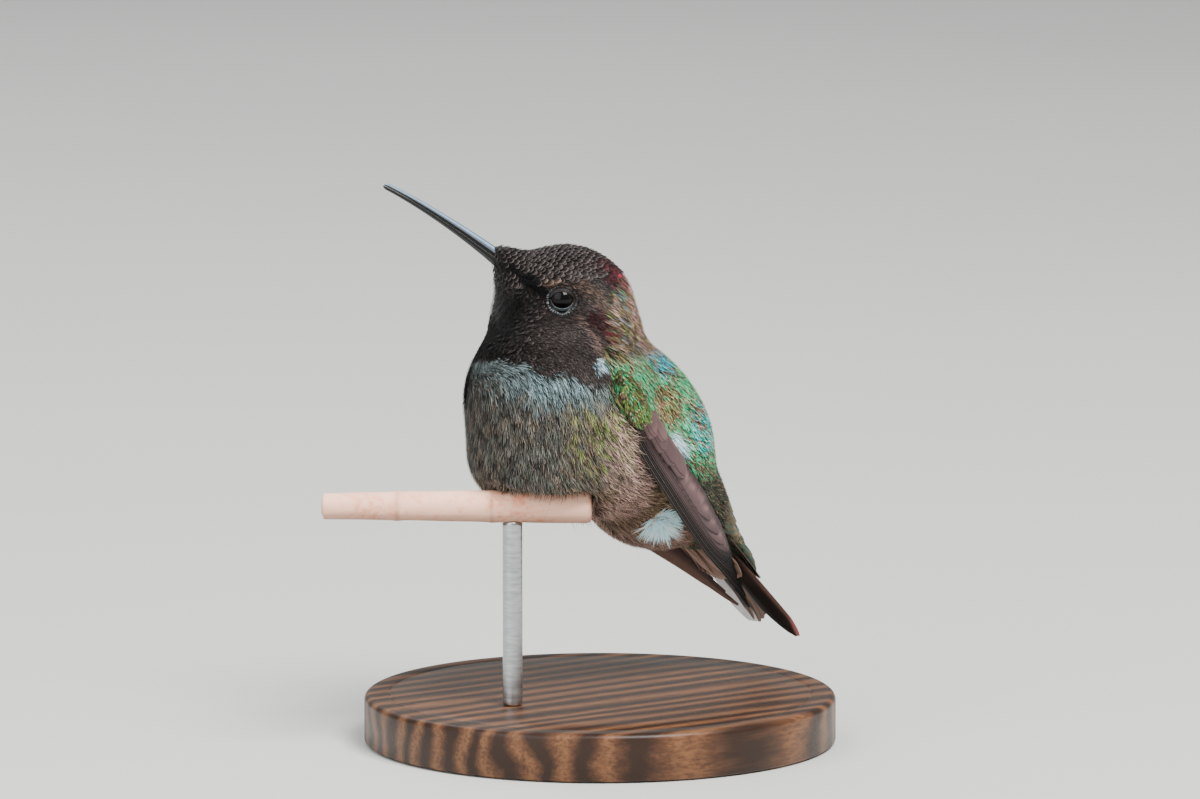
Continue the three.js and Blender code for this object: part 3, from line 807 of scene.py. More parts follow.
@dataclass
class Crop:
    """Tufts about to grow: where, of what make, in which colours, how large and how far off the body."""

    name: str
    roots: Roots
    kind: Tuft
    paint: Paint
    size: Array  # one scale for each tuft
    free: Array  # how far each tuft's tip leaves the surface to stand straight
    seed: int  # the number that the disorder starts from

    def plumes(self) -> Piece:
        """Tufts of separate tapering strands, fanned from each root.

        Strand k of -1 to 1 runs along s = t x length x (1 - rounded x k^2), and lies k x width x
        (0.3 + 0.7t) aside. Its height is lift x t^1.6 - sink x (1-t)^2, and its own width falls to a point.
        """
        rng, kind, size = np.random.default_rng(self.seed), self.kind, self.size[:, None, None]
        count, k, t = len(self.size), np.linspace(-1, 1, kind.strands), np.linspace(0, 1, kind.rows)
        each = (count, len(k), 1)
        reach = kind.length * (1 - kind.rounded * k**2) * rng.uniform(0.8, 1.15, each[:2])
        reach = reach * self.size[:, None]
        t3, k3 = t[None, None, :], (k + rng.normal(0, 0.09, each[:2]))[:, :, None]
        s = reach[:, :, None] * t3
        bend = rng.normal(0, kind.bend, (count, 1, 1)) + rng.normal(0, kind.bend * 0.5, each)
        x = size * (kind.width * k3 * (0.3 + 0.7 * t3) + bend * t3**2)
        loft = rng.uniform(0.4, 1.5, each) * kind.lift
        h = loft * t3**1.6 - kind.sink * (1 - t3) ** 2
        half = kind.strand * np.sqrt(self.size)[:, None, None] * (1 - 0.86 * t3**1.7)
        wide = [np.repeat(a[..., None], 2, -1) for a in np.broadcast_arrays(s, h)]
        x4 = x[..., None] + half[..., None] * np.array([-1.0, 1.0])
        free = np.broadcast_to((self.free[:, None, None] * t3**1.2)[..., None], x4.shape)
        points = self.roots.lay(wide[0], x4, wide[1], free)
        base = np.arange(count * len(k))[:, None] * (len(t) * 2) + np.arange(len(t) - 1)[None, :] * 2
        faces = np.stack([base, base + 2, base + 3, base + 1], -1).reshape(-1, 4)
        tone = ramp(t, kind.dark, kind.dark + 0.5)[None, None, :, None]
        bright = 1 + kind.vary * rng.uniform(-1, 1, (*each, 1))
        bright = bright * np.exp(0.28 * rng.normal(0, 1, (count, 1, 1, 1)))
        # Painted shade: a share of strands stays dark, standing for the shadowed gaps between strands.
        bright = bright * np.where(rng.uniform(0, 1, (*each, 1)) < kind.painted_gap_shade, 0.22, 1.0)
        outer = (np.abs(k) ** 4)[None, :, None, None] * ramp(t, 0.3, 0.9)[None, None, :, None]
        root, tip, rim = self.paint.shaped()
        tint = np.clip(mix(root, mix(tip, rim, outer), tone) * bright, 0.002, 1)
        tint = np.repeat(tint[:, :, :, None], 2, 3)
        gleam = np.broadcast_to(self.paint.gleam[:, None, None, None], x4.shape) * (1 - 0.6 * outer)
        return self.piece(points, faces, tint, gleam, k[None, :, None, None], t[None, None, :, None])

    def scales(self) -> Piece:
        """Small whole vanes with a rounded end and a rim of another colour; strands is their columns.

        Across, x = width x c x p(t), where p rises from 0.45 to 1 and then falls as a circle does; down
        the middle a vane stands higher by a camber of 0.16 x width x (1 - c^2).
        """
        rng, kind = np.random.default_rng(self.seed), self.kind
        count, c = len(self.size), np.sin(np.linspace(-np.pi / 2, np.pi / 2, kind.strands))
        t = np.array([0, 0.3, 0.55, 0.76, 0.9, 0.96, 1.0])
        swell = 0.45 + 0.55 * ramp(t, 0, 0.55)
        round_end = np.sqrt(np.clip(1 - np.maximum(0, (t - 0.58) / 0.44) ** 2, 0.03, 1))
        profile = (swell * round_end)[None, :, None]
        t3, c3 = t[None, :, None], c[None, None, :]
        big = (self.size * rng.uniform(0.85, 1.15, count))[:, None, None]
        uneven = rng.normal(0, 0.05, (count, len(t), len(c)))
        s = kind.length * big * (t3 * (1 + 0.5 * uneven) - 0.05 * c3**2 * t3)
        x = kind.width * big * (c3 * profile + uneven * 0.6 * t3)
        x = x + rng.normal(0, kind.bend, (count, 1, 1)) * t3**2
        h = kind.lift * rng.uniform(0.6, 1.3, (count, 1, 1)) * t3**1.6 - kind.sink * (1 - t3) ** 2
        h = h + 0.16 * kind.width * big * (1 - c3**2)
        s, x, h = np.broadcast_arrays(s, x, h)
        points = self.roots.lay(s, x, h, np.broadcast_to(self.free[:, None, None] * t3, s.shape))
        cell = grid_faces(len(t), len(c))[:, ::-1]
        faces = (np.arange(count)[:, None, None] * (len(t) * len(c)) + cell[None]).reshape(-1, 4)
        edge = np.maximum(np.abs(c3) ** 9, ramp(t3, 0.84, 0.95)) * ramp(t3, 0.3, 0.7)
        barbs = 1 + kind.vary * rng.uniform(-1, 1, (count, 1, len(c))) * t3
        bright = np.exp(0.25 * np.minimum(rng.normal(0, 1, (count, 1, 1)), 1.2)) * barbs
        tone = ramp(t3, kind.dark, kind.dark + 0.4)[..., None]
        root, tip, rim = self.paint.shaped()
        tint = np.clip(mix(mix(root, tip, tone), rim, edge[..., None]) * bright[..., None], 0.002, 1)
        gleam = self.paint.gleam[:, None, None] * (1 - 0.7 * edge) + 0 * s
        return self.piece(points, faces, tint, gleam, c3, t3)

    def piece(self, points: Array, faces: Array, tint: Array, gleam: Array, x: Array, t: Array) -> Piece:
        """The tufts as a piece, with its bake map: each tuft is a patch PATCH wide at its root's place.

        Args:
            points: their points, of shape (tufts, ..., 3).
            faces: their faces.
            tint: a colour for each point.
            gleam: how metallic each point is.
            x: places across a tuft, -1 to 1.
            t: places down it, 0 to 1.

        Returns:
            The piece.
        """
        shape = (len(self.size),) + (1,) * (gleam.ndim - 1)
        across = 0.005 + 0.99 * self.roots.u.reshape(shape) + PATCH * 0.5 * x + 0 * gleam
        down = 0.005 + 0.99 * self.roots.v.reshape(shape) + PATCH * (t - 0.5) + 0 * gleam
        maps = {"OFBake": np.stack([across, down], -1).reshape(-1, 2)}
        colours, values = {"tint": tint.reshape(-1, 3)}, {"gleam": gleam.reshape(-1)}
        return Piece(self.name, points.reshape(-1, 3), faces, colours, values, maps)


# ---------------------------------------------------------------- markings


@dataclass
class Places:
    """Where points of the plumage lie, in the words that the markings use."""

    fore: Array  # in front of the middle of the head
    side: Array  # aside of it, either way
    up: Array  # above it
    round: Array  # degrees round the head's upright, from straight ahead
    hood: Array  # 1 on the dark hood of crown, cheek and throat
    below: Array  # millimetres below the hood's lobed front edge
    back: Array  # 1 on the back, 0 on the breast and belly
    along: Array  # share along the folded wing
    across: Array  # share across it
    out: Array  # millimetres out from it
    body: Array  # the point itself, mirrored to the left side

    def shaped(self, shape: tuple[int, int]) -> "Places":
        """The same places as a grid."""
        parts = [getattr(self, name) for name in self.__dataclass_fields__]
        return Places(*(part.reshape(shape + part.shape[1:]) for part in parts))


@dataclass
class Markings:
    """The bird's colours as a set of named places, the same for the skin and the coat."""

    head: Head
    wing: WingSheet
    ink: Array = shade(26, 21, 21)
    hood_brown: Array = shade(60, 51, 49)
    hood_rim: Array = shade(118, 108, 106)
    wine: Array = shade(92, 36, 46)
    rose: Array = shade(150, 44, 62)
    buff: Array = shade(176, 142, 120)
    ash: Array = shade(106, 103, 98)
    ash_dark: Array = shade(22, 18, 17)
    mist: Array = shade(150, 184, 196)
    fog: Array = shade(123, 145, 149)
    white: Array = shade(184, 226, 246)
    olive: Array = shade(146, 142, 84)
    moss: Array = shade(128, 158, 78)
    bark: Array = shade(128, 104, 82)
    blush: Array = shade(196, 160, 150)
    emerald: Array = shade(50, 226, 152)
    lime: Array = shade(132, 188, 96)
    teal: Array = shade(26, 200, 222)
    peach: Array = shade(242, 188, 166)
    slate_green: Array = shade(66, 78, 66)

    def places(self, p: Array) -> Places:
        """Finds where points lie.

        Args:
            p: points of shape (count, 3).

        Returns:
            Their places. The hood's front edge hangs in three lobes on each side, deeper towards its
            corners: straight steps between heights at chosen degrees round.
        """
        fore, side, up = self.head.coordinates(p)
        side = np.abs(side)
        around = np.degrees(np.arctan2(side, fore))
        turns, heights = [20, 36, 48, 58, 66, 78, 88, 103, 115], [-10, -7, -5.3, -3.5, -1, 1, 2, 3.2, 4.2]
        front_edge = np.interp(around, turns, [-6.8, -6.7, -6.6, -7.4, -6.85, -8.2, -7.4, -9.2, -8.4])
        rear = np.interp(up, heights, [116, 112, 109, 118, 128, 137, 150, 166, 181])
        hood = ramp(up - front_edge, -0.25, 0.25) * ramp(rear - around, -2, 2)
        along, across, out, _ = self.wing.coordinates(p)
        body = p * np.where(p[:, :1] < 0, np.array([[-1, 1, 1]]), 1)
        knots = np.array(self.wing.leading.knots)[::-1]
        lead_y = np.interp(p[:, 2], [*knots[:, 2], 54.0], [*knots[:, 1], -8.0])
        back = ramp(p[:, 1] - lead_y, -0.6, 1.4)
        return Places(fore, side, up, around, hood, front_edge - up, back, along, across, out, body)

    @staticmethod
    def near(p: Array, at: Spot, reach: float, soft: float = 0.5) -> Array:
        """1 within reach of a place, falling to 0 over a soft share of it more."""
        return ramp(-distance(p, at), -reach * (1 + soft), -reach)

    @staticmethod
    def by_line(h: Array, start: tuple[float, ...], end: tuple[float, ...], reach: float) -> Array:
        """1 within reach of a straight line between two places, falling to 0 over as much again."""
        a, b = np.array(start), np.array(end)
        t = np.clip(((h - a) @ (b - a)) / ((b - a) @ (b - a)), 0, 1)[:, None]
        return ramp(-distance(h, a + t * (b - a)), -2 * reach, -reach)

    def paint(self, p: Array, seed: int, hooded: bool = False) -> Paint:
        """The colours of tufts rooted at points.

        Args:
            p: roots of shape (count, 3).
            seed: the number that the marks' small unevenness starts from.
            hooded: whether all of them belong to the dark hood.

        Returns:
            Their colours. Marks are laid in order, each leaning the colours towards its own by a weight.
        """
        rng = np.random.default_rng(seed)
        count = len(p)
        q = p + rng.normal(0, 0.22, p.shape)
        w = self.places(q)
        if hooded:
            w.hood = np.ones(count)
        h = np.stack([w.fore, w.side, w.up], -1)
        chance = rng.uniform(0, 1, count)
        blank = np.zeros((count, 3))
        coat = Paint(blank + self.ash_dark, blank + self.ash, blank + self.ash * 1.15, np.zeros(count))
        self._breast(coat, w, chance)
        self._back(coat, w, chance)
        self._nape(coat, w, h, chance)
        self._hood(coat, w, h, chance)
        spot = self.near(h, (-4.4, 13.5, -6.6), 0.7, 0.5)
        coat.lean(spot, self.mist * 0.7, self.white, self.white)
        return coat

    def _breast(self, coat: Paint, w: Places, chance: Array) -> None:
        """Ashy underparts: misty under the hood, dark spots in front, mossy flanks, warm belly, and painted
        shade before the wing's edge.

        Args:
            coat: the colours so far, changed in place.
            w: where the tufts grow.
            chance: a number of 0 to 1 for each tuft.
        """
        low_chance = (chance * 7) % 1
        coat.lean((low_chance < 0.22) * 0.6, self.ash_dark, self.bark * 0.9, self.buff * 0.8)
        coat.lean((low_chance > 0.75) * 0.6, self.ash_dark, self.slate_green * 1.9, self.ash)
        mist = ramp(-w.below, -4.8, -0.3) * ramp(w.below, -0.4, 0.2) * (1 - w.back)
        strong = ramp(w.round, 50, 76) * ramp(-w.round, -108, -94)
        misty = ((chance * 13) % 1 < 1.5 * mist) * np.sqrt(mist)
        coat.lean(misty * (0.65 + 0.35 * strong), self.ash_dark * 1.2, self.fog, self.fog * 1.24)
        x, _, z = w.body.T
        flank = ramp(x, 8.6, 11.0) * ramp(z, 35, 38) * ramp(-z, -48.5, -45.5) * (1 - w.back)
        coat.lean(flank * 0.7 * (chance < 0.42), self.ash_dark, self.olive, self.ash)
        coat.lean(flank * 0.6 * (chance > 0.72), self.ash_dark, self.bark, self.buff)
        mossy = ramp(x, 9.6, 11.4) * ramp(z, 36, 39) * ramp(-z, -47, -44) * (1 - w.back)
        coat.lean(mossy * 0.8 * (chance < 0.28), self.ash_dark, self.moss, self.olive)
        low = ramp(-z, -36.5, -32.5) * (1 - w.back)
        coat.lean(low * 0.85, self.ash_dark * 0.9, self.bark, self.buff)
        coat.lean(low * 0.6 * (low_chance < 0.3), self.ash_dark, self.olive, self.blush)
        edge = ramp(w.along, 0.02, 0.08) * ramp(w.across, -1.0, -0.45) * ramp(-w.across, -0.2, 0.1)
        coat.lean(edge * 0.8 * (chance > 0.35) * (1 - w.back), self.ash_dark, self.blush, self.blush * 1.1)
        # Painted shade: the tufts just before the wing's leading edge are painted ink, for the shadowed gap
        # between wing and breast.
        gap = ramp(w.across, -0.22, -0.1) * ramp(-w.across, -0.3, -0.1) * ramp(-w.along, -0.4, -0.2)
        coat.lean(gap * (1 - w.back) * 0.9, self.ink * 0.5, self.ink, self.bark * 0.5)
        vent = ramp(-z, -29.0, -26.5) * (1 - w.back)
        coat.lean(vent * 0.8, self.bark * 0.7, self.blush * 0.85, self.blush)
        front = ramp(-x, -9.5, -6) * ramp(z, 33, 36) * ramp(-w.below, -16, -13) * (1 - mist)
        spots = np.sin(w.round * 0.33 + 0.8 * w.below) * np.sin(w.below * 2.3 - w.round * 0.11)
        spots = front * ramp(spots, 0.3, 0.5) * (1 - w.back)
        coat.lean(spots * 0.85, self.ink, self.ink * 1.3, self.ash_dark)

    def _back(self, coat: Paint, w: Places, chance: Array) -> None:
        """Mantle of emerald, teal and lime with peach rims, dulling to slate green over the tail.

        Args:
            coat: the colours so far, changed in place.
            w: where the tufts grow.
            chance: a number of 0 to 1 for each tuft.
        """
        z = w.body[:, 2]
        coat.lean(w.back, self.ash_dark * 0.8, self.emerald * 1.15, self.peach, 0.05)
        coat.lean(w.back * (chance < 0.25), self.ash_dark, self.bark * 1.4, self.peach)
        teal = self.near(w.body, (6.0, 3.2, 50.4), 2.6) + self.near(w.body, (8.5, 8.0, 41.0), 3.0) * 0.7
        teal = np.clip(teal, 0, 1) * w.back * (chance > 0.3)
        coat.lean(teal, self.ash_dark, self.teal * 1.15, self.peach, 0.05)
        arm = ramp(-w.along, -0.2, -0.17) * ramp(w.across, -0.2, 0) * ramp(-w.across, -1.0, -0.8)
        arm = arm * ramp(w.out, -2, -1.2)
        coat.lean(arm * (chance < 0.8), self.ink, self.moss * 0.6, self.olive * 0.6)
        coat.lean(arm * (chance < 0.22), self.ink, self.emerald * 0.45, self.moss * 0.7, 0.1)
        coat.lean(arm * (chance > 0.7), self.ink, self.bark * 0.7, self.peach * 0.6)
        wrist = arm * ramp(w.along, 0.1, 0.15)
        coat.lean(wrist * 0.8 * (chance < 0.8), self.moss * 0.3, self.lime * 0.55, self.olive * 0.7)
        tan = self.near(w.body, (10.6, 1.6, 45.0), 2.2)
        coat.lean(tan * w.back * (chance > 0.35), self.ash_dark, self.olive * 1.2, self.peach, 0.1)
        low = ramp(-z, -39, -33) * w.back
        coat.lean(low, self.ink, self.slate_green, self.bark * 0.9, 0.05)
        coat.lean(low * (chance > 0.8) * 0.6, self.ink, self.bark * 0.7, self.bark * 0.9)

    def _nape(self, coat: Paint, w: Places, h: Array, chance: Array) -> None:
        """Olive and blush nape between the hood and the mantle, with a green glint behind the eye.

        Args:
            coat: the colours so far, changed in place.
            w: where the tufts grow.
            h: the same places in the head's own directions.
            chance: a number of 0 to 1 for each tuft.
        """
        high = ramp(w.body[:, 2], 50.2, 51.8) * ramp(w.round, 96, 106) * (1 - w.hood)
        coat.lean(high, self.ash_dark * 0.7, self.buff * 0.75, self.blush * 0.9)
        coat.lean(high * (chance < 0.22), self.ash_dark, self.olive * 0.8, self.moss * 0.8, 0.05)
        coat.lean(high * (np.abs(chance - 0.5) < 0.09), self.ash_dark, self.mist * 0.5, self.blush * 0.7)
        coat.lean(high * (chance > 0.8), self.ash_dark * 0.6, self.bark * 0.5, self.bark * 0.7)
        rear = high * ramp(w.round, 145, 165)
        warm = mix(self.blush, self.rose, 0.35)
        coat.lean(rear * 0.7 * (chance > 0.4), self.ash_dark, warm, self.blush)
        glint = self.near(h, (-6.3, 4.3, 1.7), 0.45)
        coat.lean(glint, self.ink, self.emerald * 0.8, self.moss, 0.1)

    def _hood(self, coat: Paint, w: Places, h: Array, chance: Array) -> None:
        """The dark hood: scalloped crown, wine patches, buff streaks round the eye, black before it; painted
        shade darkens the throat's front.

        Args:
            coat: the colours so far, changed in place.
            w: where the tufts grow.
            h: the same places in the head's own directions.
            chance: a number of 0 to 1 for each tuft.
        """
        # The throat's front is painted near black: partly the hood's own dark colour, partly painted shade.
        ahead = ramp(-w.round, -85, -40) * ramp(-w.up, -2.5, 0)
        coat.lean(w.hood, self.ink * 0.5, self.hood_brown * 0.68, self.hood_rim * 0.58, 0.05)
        cheek = w.hood * ramp(w.round, 48, 70) * ramp(w.up, -5.0, -3.5) * ramp(-w.up, -0.5, 0.8)
        coat.lean(cheek * 0.7, self.ink * 0.8, self.hood_brown * 1.4, self.hood_rim * 0.95)
        coat.lean(w.hood * ahead * 0.95, self.ink * 0.1, self.ink * 0.12, self.hood_brown * 0.1)
        crown = w.hood * ramp(w.up + 0.1 * w.fore, 2.4, 3.6)
        coat.lean(crown, self.ink * 0.5, self.hood_brown * 0.42, self.hood_rim * 0.6, 0.05)
        patches = self.near(h, (-5.4, 3.0, 3.6), 1.9) + self.near(h, (-4.8, 7.8, -1.8), 1.9)
        patches = np.clip(patches + self.near(h, (-5.6, 9.6, -4.0), 1.2), 0, 1)
        coat.lean(patches * w.hood * (chance > 0.25), self.ink * 0.6, self.wine * 0.7, self.hood_brown, 0.15)
        glow = self.near(h, (-5.4, 8.8, -3.4), 1.0) + self.near(h, (-6.6, 2.6, 3.0), 0.9)
        coat.lean(np.clip(glow, 0, 1) * (chance > 0.6), self.wine * 0.4, self.rose * 0.75, self.wine, 0.1)
        brow = self.by_line(h, (2.9, 5.5, 2.4), (-2.4, 6.2, 2.1), 0.35)
        brow = brow + self.by_line(h, (-2.6, 6.2, 1.5), (-4.6, 6.2, 0.2), 0.8)
        brow = np.clip(brow, 0, 1) * (chance > 0.4) * 0.75
        coat.lean(brow, self.hood_brown * 0.6, self.buff * 0.42, self.buff * 0.55)
        streak = self.by_line(h, (-1.6, 8.2, -1.6), (-3.9, 12.4, -5.2), 0.42)
        streak = streak * (chance > 0.5) * 0.8
        coat.lean(streak, self.hood_brown * 0.7, self.blush * 0.5, self.blush * 0.7)
        flat = h[:, [0, 2]]
        lore = self.by_line(flat, (5.4, 2.9), (2.3, 0.8), 0.42)
        lore = lore + self.by_line(flat, (9.0, 4.5), (5.0, 3.0), 0.2)
        coat.lean(np.clip(lore, 0, 1) * (w.side > 0.7), self.ink * 0.15, self.ink * 0.2, self.ink * 0.25)


# ---------------------------------------------------------------- finishes


class Shader:
    """One material's node tree, with a few short ways to add to it."""

    def __init__(self, name: str) -> None:
        """Makes an empty material with a principled surface."""
        self.material = bpy.data.materials.new(name)
        self.material.use_nodes = True
        self.tree = self.material.node_tree
        self.surface = self.tree.nodes["Principled BSDF"]

    def set(self, **values: float | tuple) -> None:
        """Sets the surface's own sockets; an underscore in a name stands for a space."""
        for name, value in values.items():
            self.surface.inputs[name.replace("_", " ")].default_value = value

    def node(self, kind: str, inputs: dict | None = None, **settings: object) -> bpy.types.Node:
        """Adds a node.

        Args:
            kind: its type's name.
            inputs: values or output sockets for its inputs, by name or number.
            settings: its own properties.

        Returns:
            The node.
        """
        node = self.tree.nodes.new(kind)
        for name, value in settings.items():
            setattr(node, name, value)
        for name, value in (inputs or {}).items():
            if isinstance(value, Socket):
                self.tree.links.new(value, node.inputs[name])
            else:
                node.inputs[name].default_value = value
        return node

    def link(self, output: Socket, name: str) -> None:
        """Joins an output to one of the surface's sockets."""
        self.tree.links.new(output, self.surface.inputs[name])

    def place(self) -> Socket:
        """The piece's own coordinates."""
        return self.node("ShaderNodeTexCoord").outputs["Object"]

    def noise(self, scale: float, detail: float = 3.0, vector: Socket | None = None) -> Socket:
        """Noise over the piece's own coordinates, in waves per metre."""
        where = vector or self.place()
        inputs = {"Vector": where, "Scale": scale, "Detail": detail, "Roughness": 0.6}
        return self.node("ShaderNodeTexNoise", inputs).outputs["Fac"]

    def stretched(self, scale: Spot, turn: Spot) -> Socket:
        """The piece's own coordinates, turned and stretched."""
        inputs = {"Vector": self.place(), "Scale": scale, "Rotation": tuple(math.radians(a) for a in turn)}
        return self.node("ShaderNodeMapping", inputs).outputs["Vector"]

    def between(self, value: Socket, low: float, high: float) -> Socket:
        """A value of 0 to 1 carried to a range."""
        return self.node("ShaderNodeMapRange", {"Value": value, "To Min": low, "To Max": high}).outputs[0]

    def ramp(self, value: Socket, stops: list[tuple[float, Array]]) -> Socket:
        """A value turned into colour through stops."""
        node = self.node("ShaderNodeValToRGB", {"Fac": value})
        band = node.color_ramp
        while len(band.elements) < len(stops):
            band.elements.new(0.5)
        for element, (place, colour) in zip(band.elements, stops):
            element.position = place
            element.color = (*colour, 1)
        return node.outputs["Color"]

    def times(self, colour: Socket, value: Socket) -> Socket:
        """A colour made brighter or darker by a value."""
        node = self.node("ShaderNodeVectorMath", operation="SCALE")
        self.tree.links.new(colour, node.inputs[0])
        self.tree.links.new(value, node.inputs["Scale"])
        return node.outputs[0]

    def carried(self, name: str) -> Socket:
        """A number that the piece's points carry."""
        return self.node("ShaderNodeAttribute", attribute_name=name).outputs["Fac"]

    def tinted(self, value: Socket, low: float, high: float) -> Socket:
        """The colour that the piece's points carry, made darker and brighter by a value."""
        tint = self.node("ShaderNodeAttribute", attribute_name="tint").outputs["Color"]
        return self.times(tint, self.between(value, low, high))

    def rough(self, value: Socket, low: float, high: float) -> None:
        """Roughness that follows a value."""
        self.link(self.between(value, low, high), "Roughness")

    def bump(self, height: Socket, depth: float) -> None:
        """Relief of a depth in millimetres."""
        inputs = {"Height": height, "Distance": depth * METRES, "Strength": 1.0}
        self.link(self.node("ShaderNodeBump", inputs).outputs["Normal"], "Normal")


@dataclass(frozen=True)
class Plumage:
    """Small feathers: carried colour, a fine grain along the barbs, and a metallic gleam where marked."""

    name: str
    roughness: float = 0.55
    grain: float = 0.3
    sheen: float = 0.15

    def make(self) -> Material:
        """The finish as a material."""
        s = Shader(self.name)
        grain = s.noise(2600, 4)
        s.link(s.tinted(grain, 1 - self.grain, 1 + self.grain), "Base Color")
        s.link(s.carried("gleam"), "Metallic")
        s.rough(grain, self.roughness - 0.12, self.roughness + 0.15)
        s.bump(s.noise(7000, 2), 0.02)
        s.set(Sheen_Weight=self.sheen, Sheen_Roughness=0.5, Specular_IOR_Level=0.12)
        return s.material


@dataclass(frozen=True)
class Vane:
    """Long feathers: carried colour, slanting barbs from the feather's own map, and a soft gloss."""

    name: str
    barbs: float = 110.0
    gloss: float = 0.46
    relief: float = 0.006

    def make(self) -> Material:
        """The finish as a material."""
        s = Shader(self.name)
        where = s.node("ShaderNodeUVMap", uv_map="vane").outputs["UV"]
        slant = {"Vector": where, "Rotation": (0, 0, math.radians(10)), "Scale": (1.2, 9, 1)}
        turned = s.node("ShaderNodeMapping", slant).outputs["Vector"]
        inputs = {"Vector": turned, "Scale": self.barbs / 9, "Distortion": 2.4, "Detail": 3.0}
        lines = s.node("ShaderNodeTexWave", inputs, bands_direction="Y").outputs["Fac"]
        broad = s.noise(700, 3)
        both = {0: s.between(lines, 0.96, 1.03), 1: s.between(broad, 0.78, 1.22)}
        uneven = s.node("ShaderNodeMath", both, operation="MULTIPLY").outputs[0]
        tint = s.node("ShaderNodeAttribute", attribute_name="tint").outputs["Color"]
        s.link(s.times(tint, uneven), "Base Color")
        s.rough(broad, self.gloss - 0.08, self.gloss + 0.16)
        s.bump(lines, self.relief)
        s.set(Specular_IOR_Level=0.2)
        return s.material


@dataclass(frozen=True)
class Horn:
    """Bill and claws: blue-black keratin with fine lengthwise grain; the bill's carried colour has a painted
    highlight along its upper sides.
    """

    name: str = "bill_horn"
    roughness: float = 0.34

    def make(self) -> Material:
        """The finish as a material."""
        s = Shader(self.name)
        fine = s.noise(1400, 4, s.stretched((1, 1, 0.25), (34, 0, -40)))
        s.link(s.tinted(fine, 0.75, 1.3), "Base Color")
        s.rough(fine, self.roughness - 0.06, self.roughness + 0.16)
        s.bump(fine, 0.03)
        s.set(Coat_Weight=0.05, Coat_Roughness=0.2, Specular_IOR_Level=0.22)
        return s.material


@dataclass(frozen=True)
class Eyeball:
    """A dark brown eye under a wet, clear surface."""

    name: str = "eye_gloss"

    def make(self) -> Material:
        """The finish as a material."""
        s = Shader(self.name)
        iris = s.noise(1500, 3)
        s.link(s.tinted(iris, 0.7, 1.3), "Base Color")
        s.rough(iris, 0.04, 0.1)
        s.set(Coat_Weight=0.06, Coat_Roughness=0.03, Specular_IOR_Level=0.12)
        return s.material


@dataclass(frozen=True)
class BareSkin:
    """Bare or thinly covered skin: lids and toes, with small scutes."""

    name: str
    scutes: float = 3200.0
    roughness: float = 0.5

    def make(self) -> Material:
        """The finish as a material."""
        s = Shader(self.name)
        inputs = {"Vector": s.place(), "Scale": self.scutes}
        cells = s.node("ShaderNodeTexVoronoi", inputs).outputs["Distance"]
        s.link(s.tinted(cells, 1.15, 0.6), "Base Color")
        s.rough(cells, self.roughness - 0.1, self.roughness + 0.2)
        s.bump(s.between(cells, 1, 0), 0.03)
        return s.material


@dataclass(frozen=True)
class PeeledTwig:
    """A peeled twig: tan to pinkish wood with fine fibres and dark flecks; a carried factor adds painted
    light on its top and painted shade beneath, and darkens its knots.
    """

    name: str = "peeled_twig"

    def make(self) -> Material:
        """The finish as a material."""
        s = Shader(self.name)
        fibre = s.noise(1500, 5, s.stretched((0.06, 1, 1), (0, 0, -50)))
        blotch = s.noise(160, 3)
        bands = s.node("ShaderNodeMath", {0: fibre, 1: blotch}, operation="ADD").outputs[0]
        stops = [(0.3, srgb(226, 138, 104)), (0.45, srgb(250, 186, 156))]
        stops += [(0.58, srgb(255, 212, 190)), (0.78, srgb(255, 246, 238))]
        colour = s.ramp(s.between(bands, 0.0, 0.5), stops)
        s.link(s.times(colour, s.carried("wear")), "Base Color")
        s.rough(fibre, 0.45, 0.75)
        s.bump(fibre, 0.08)
        s.set(Specular_IOR_Level=0.4)
        return s.material


@dataclass(frozen=True)
class BrushedSteel:
    """A turned steel rod with rings left by the tool."""

    name: str = "rod_steel"

    def make(self) -> Material:
        """The finish as a material."""
        s = Shader(self.name)
        rings = s.noise(3000, 2, s.stretched((0.15, 0.15, 1), (0, 0, 0)))
        s.link(s.ramp(rings, [(0.2, srgb(150, 152, 155)), (0.8, srgb(205, 206, 208))]), "Base Color")
        s.rough(rings, 0.22, 0.42)
        s.bump(rings, 0.01)
        s.set(Metallic=1.0)
        return s.material


@dataclass(frozen=True)
class TurnedWood:
    """A dark hardwood disc: long wavy grain and pores under a satin varnish."""

    name: str = "base_wood"

    def make(self) -> Material:
        """The finish as a material."""
        s = Shader(self.name)
        where = s.stretched((1, 0.12, 1), (0, 0, 24))
        wave = {"Vector": where, "Scale": 90, "Distortion": 5, "Detail": 4, "Detail Scale": 1.6}
        grain = s.node("ShaderNodeTexWave", wave, wave_type="BANDS").outputs["Fac"]
        pores = s.noise(2600, 3, where)
        both = s.node("ShaderNodeMath", {0: grain, 1: pores}, operation="MULTIPLY").outputs[0]
        stops = [(0.05, srgb(46, 29, 20)), (0.3, srgb(84, 54, 36)), (0.6, srgb(122, 82, 54))]
        s.link(s.ramp(both, stops), "Base Color")
        s.rough(pores, 0.3, 0.5)
        s.bump(pores, 0.03)
        s.set(Coat_Weight=0.08, Coat_Roughness=0.3, Specular_IOR_Level=0.25)
        return s.material


# ---------------------------------------------------------------- body and coat


@dataclass(frozen=True)
class Patch:
    """One piece of the coat: where it grows, what it is made of and how it lies."""

    name: str
    where: Array  # one share for each grid point; it grows over a half
    kind: Tuft
    spacing: float
    finish: Plumage
    vaned: bool = False  # small whole vanes rather than separate strands
    jitter: float = 0.3
    free: float = 0.25
    unruly: float = 0.12  # how far tufts turn out of the common direction, in radians
    pale: float = 0.0  # how far its colours lean to pale blush


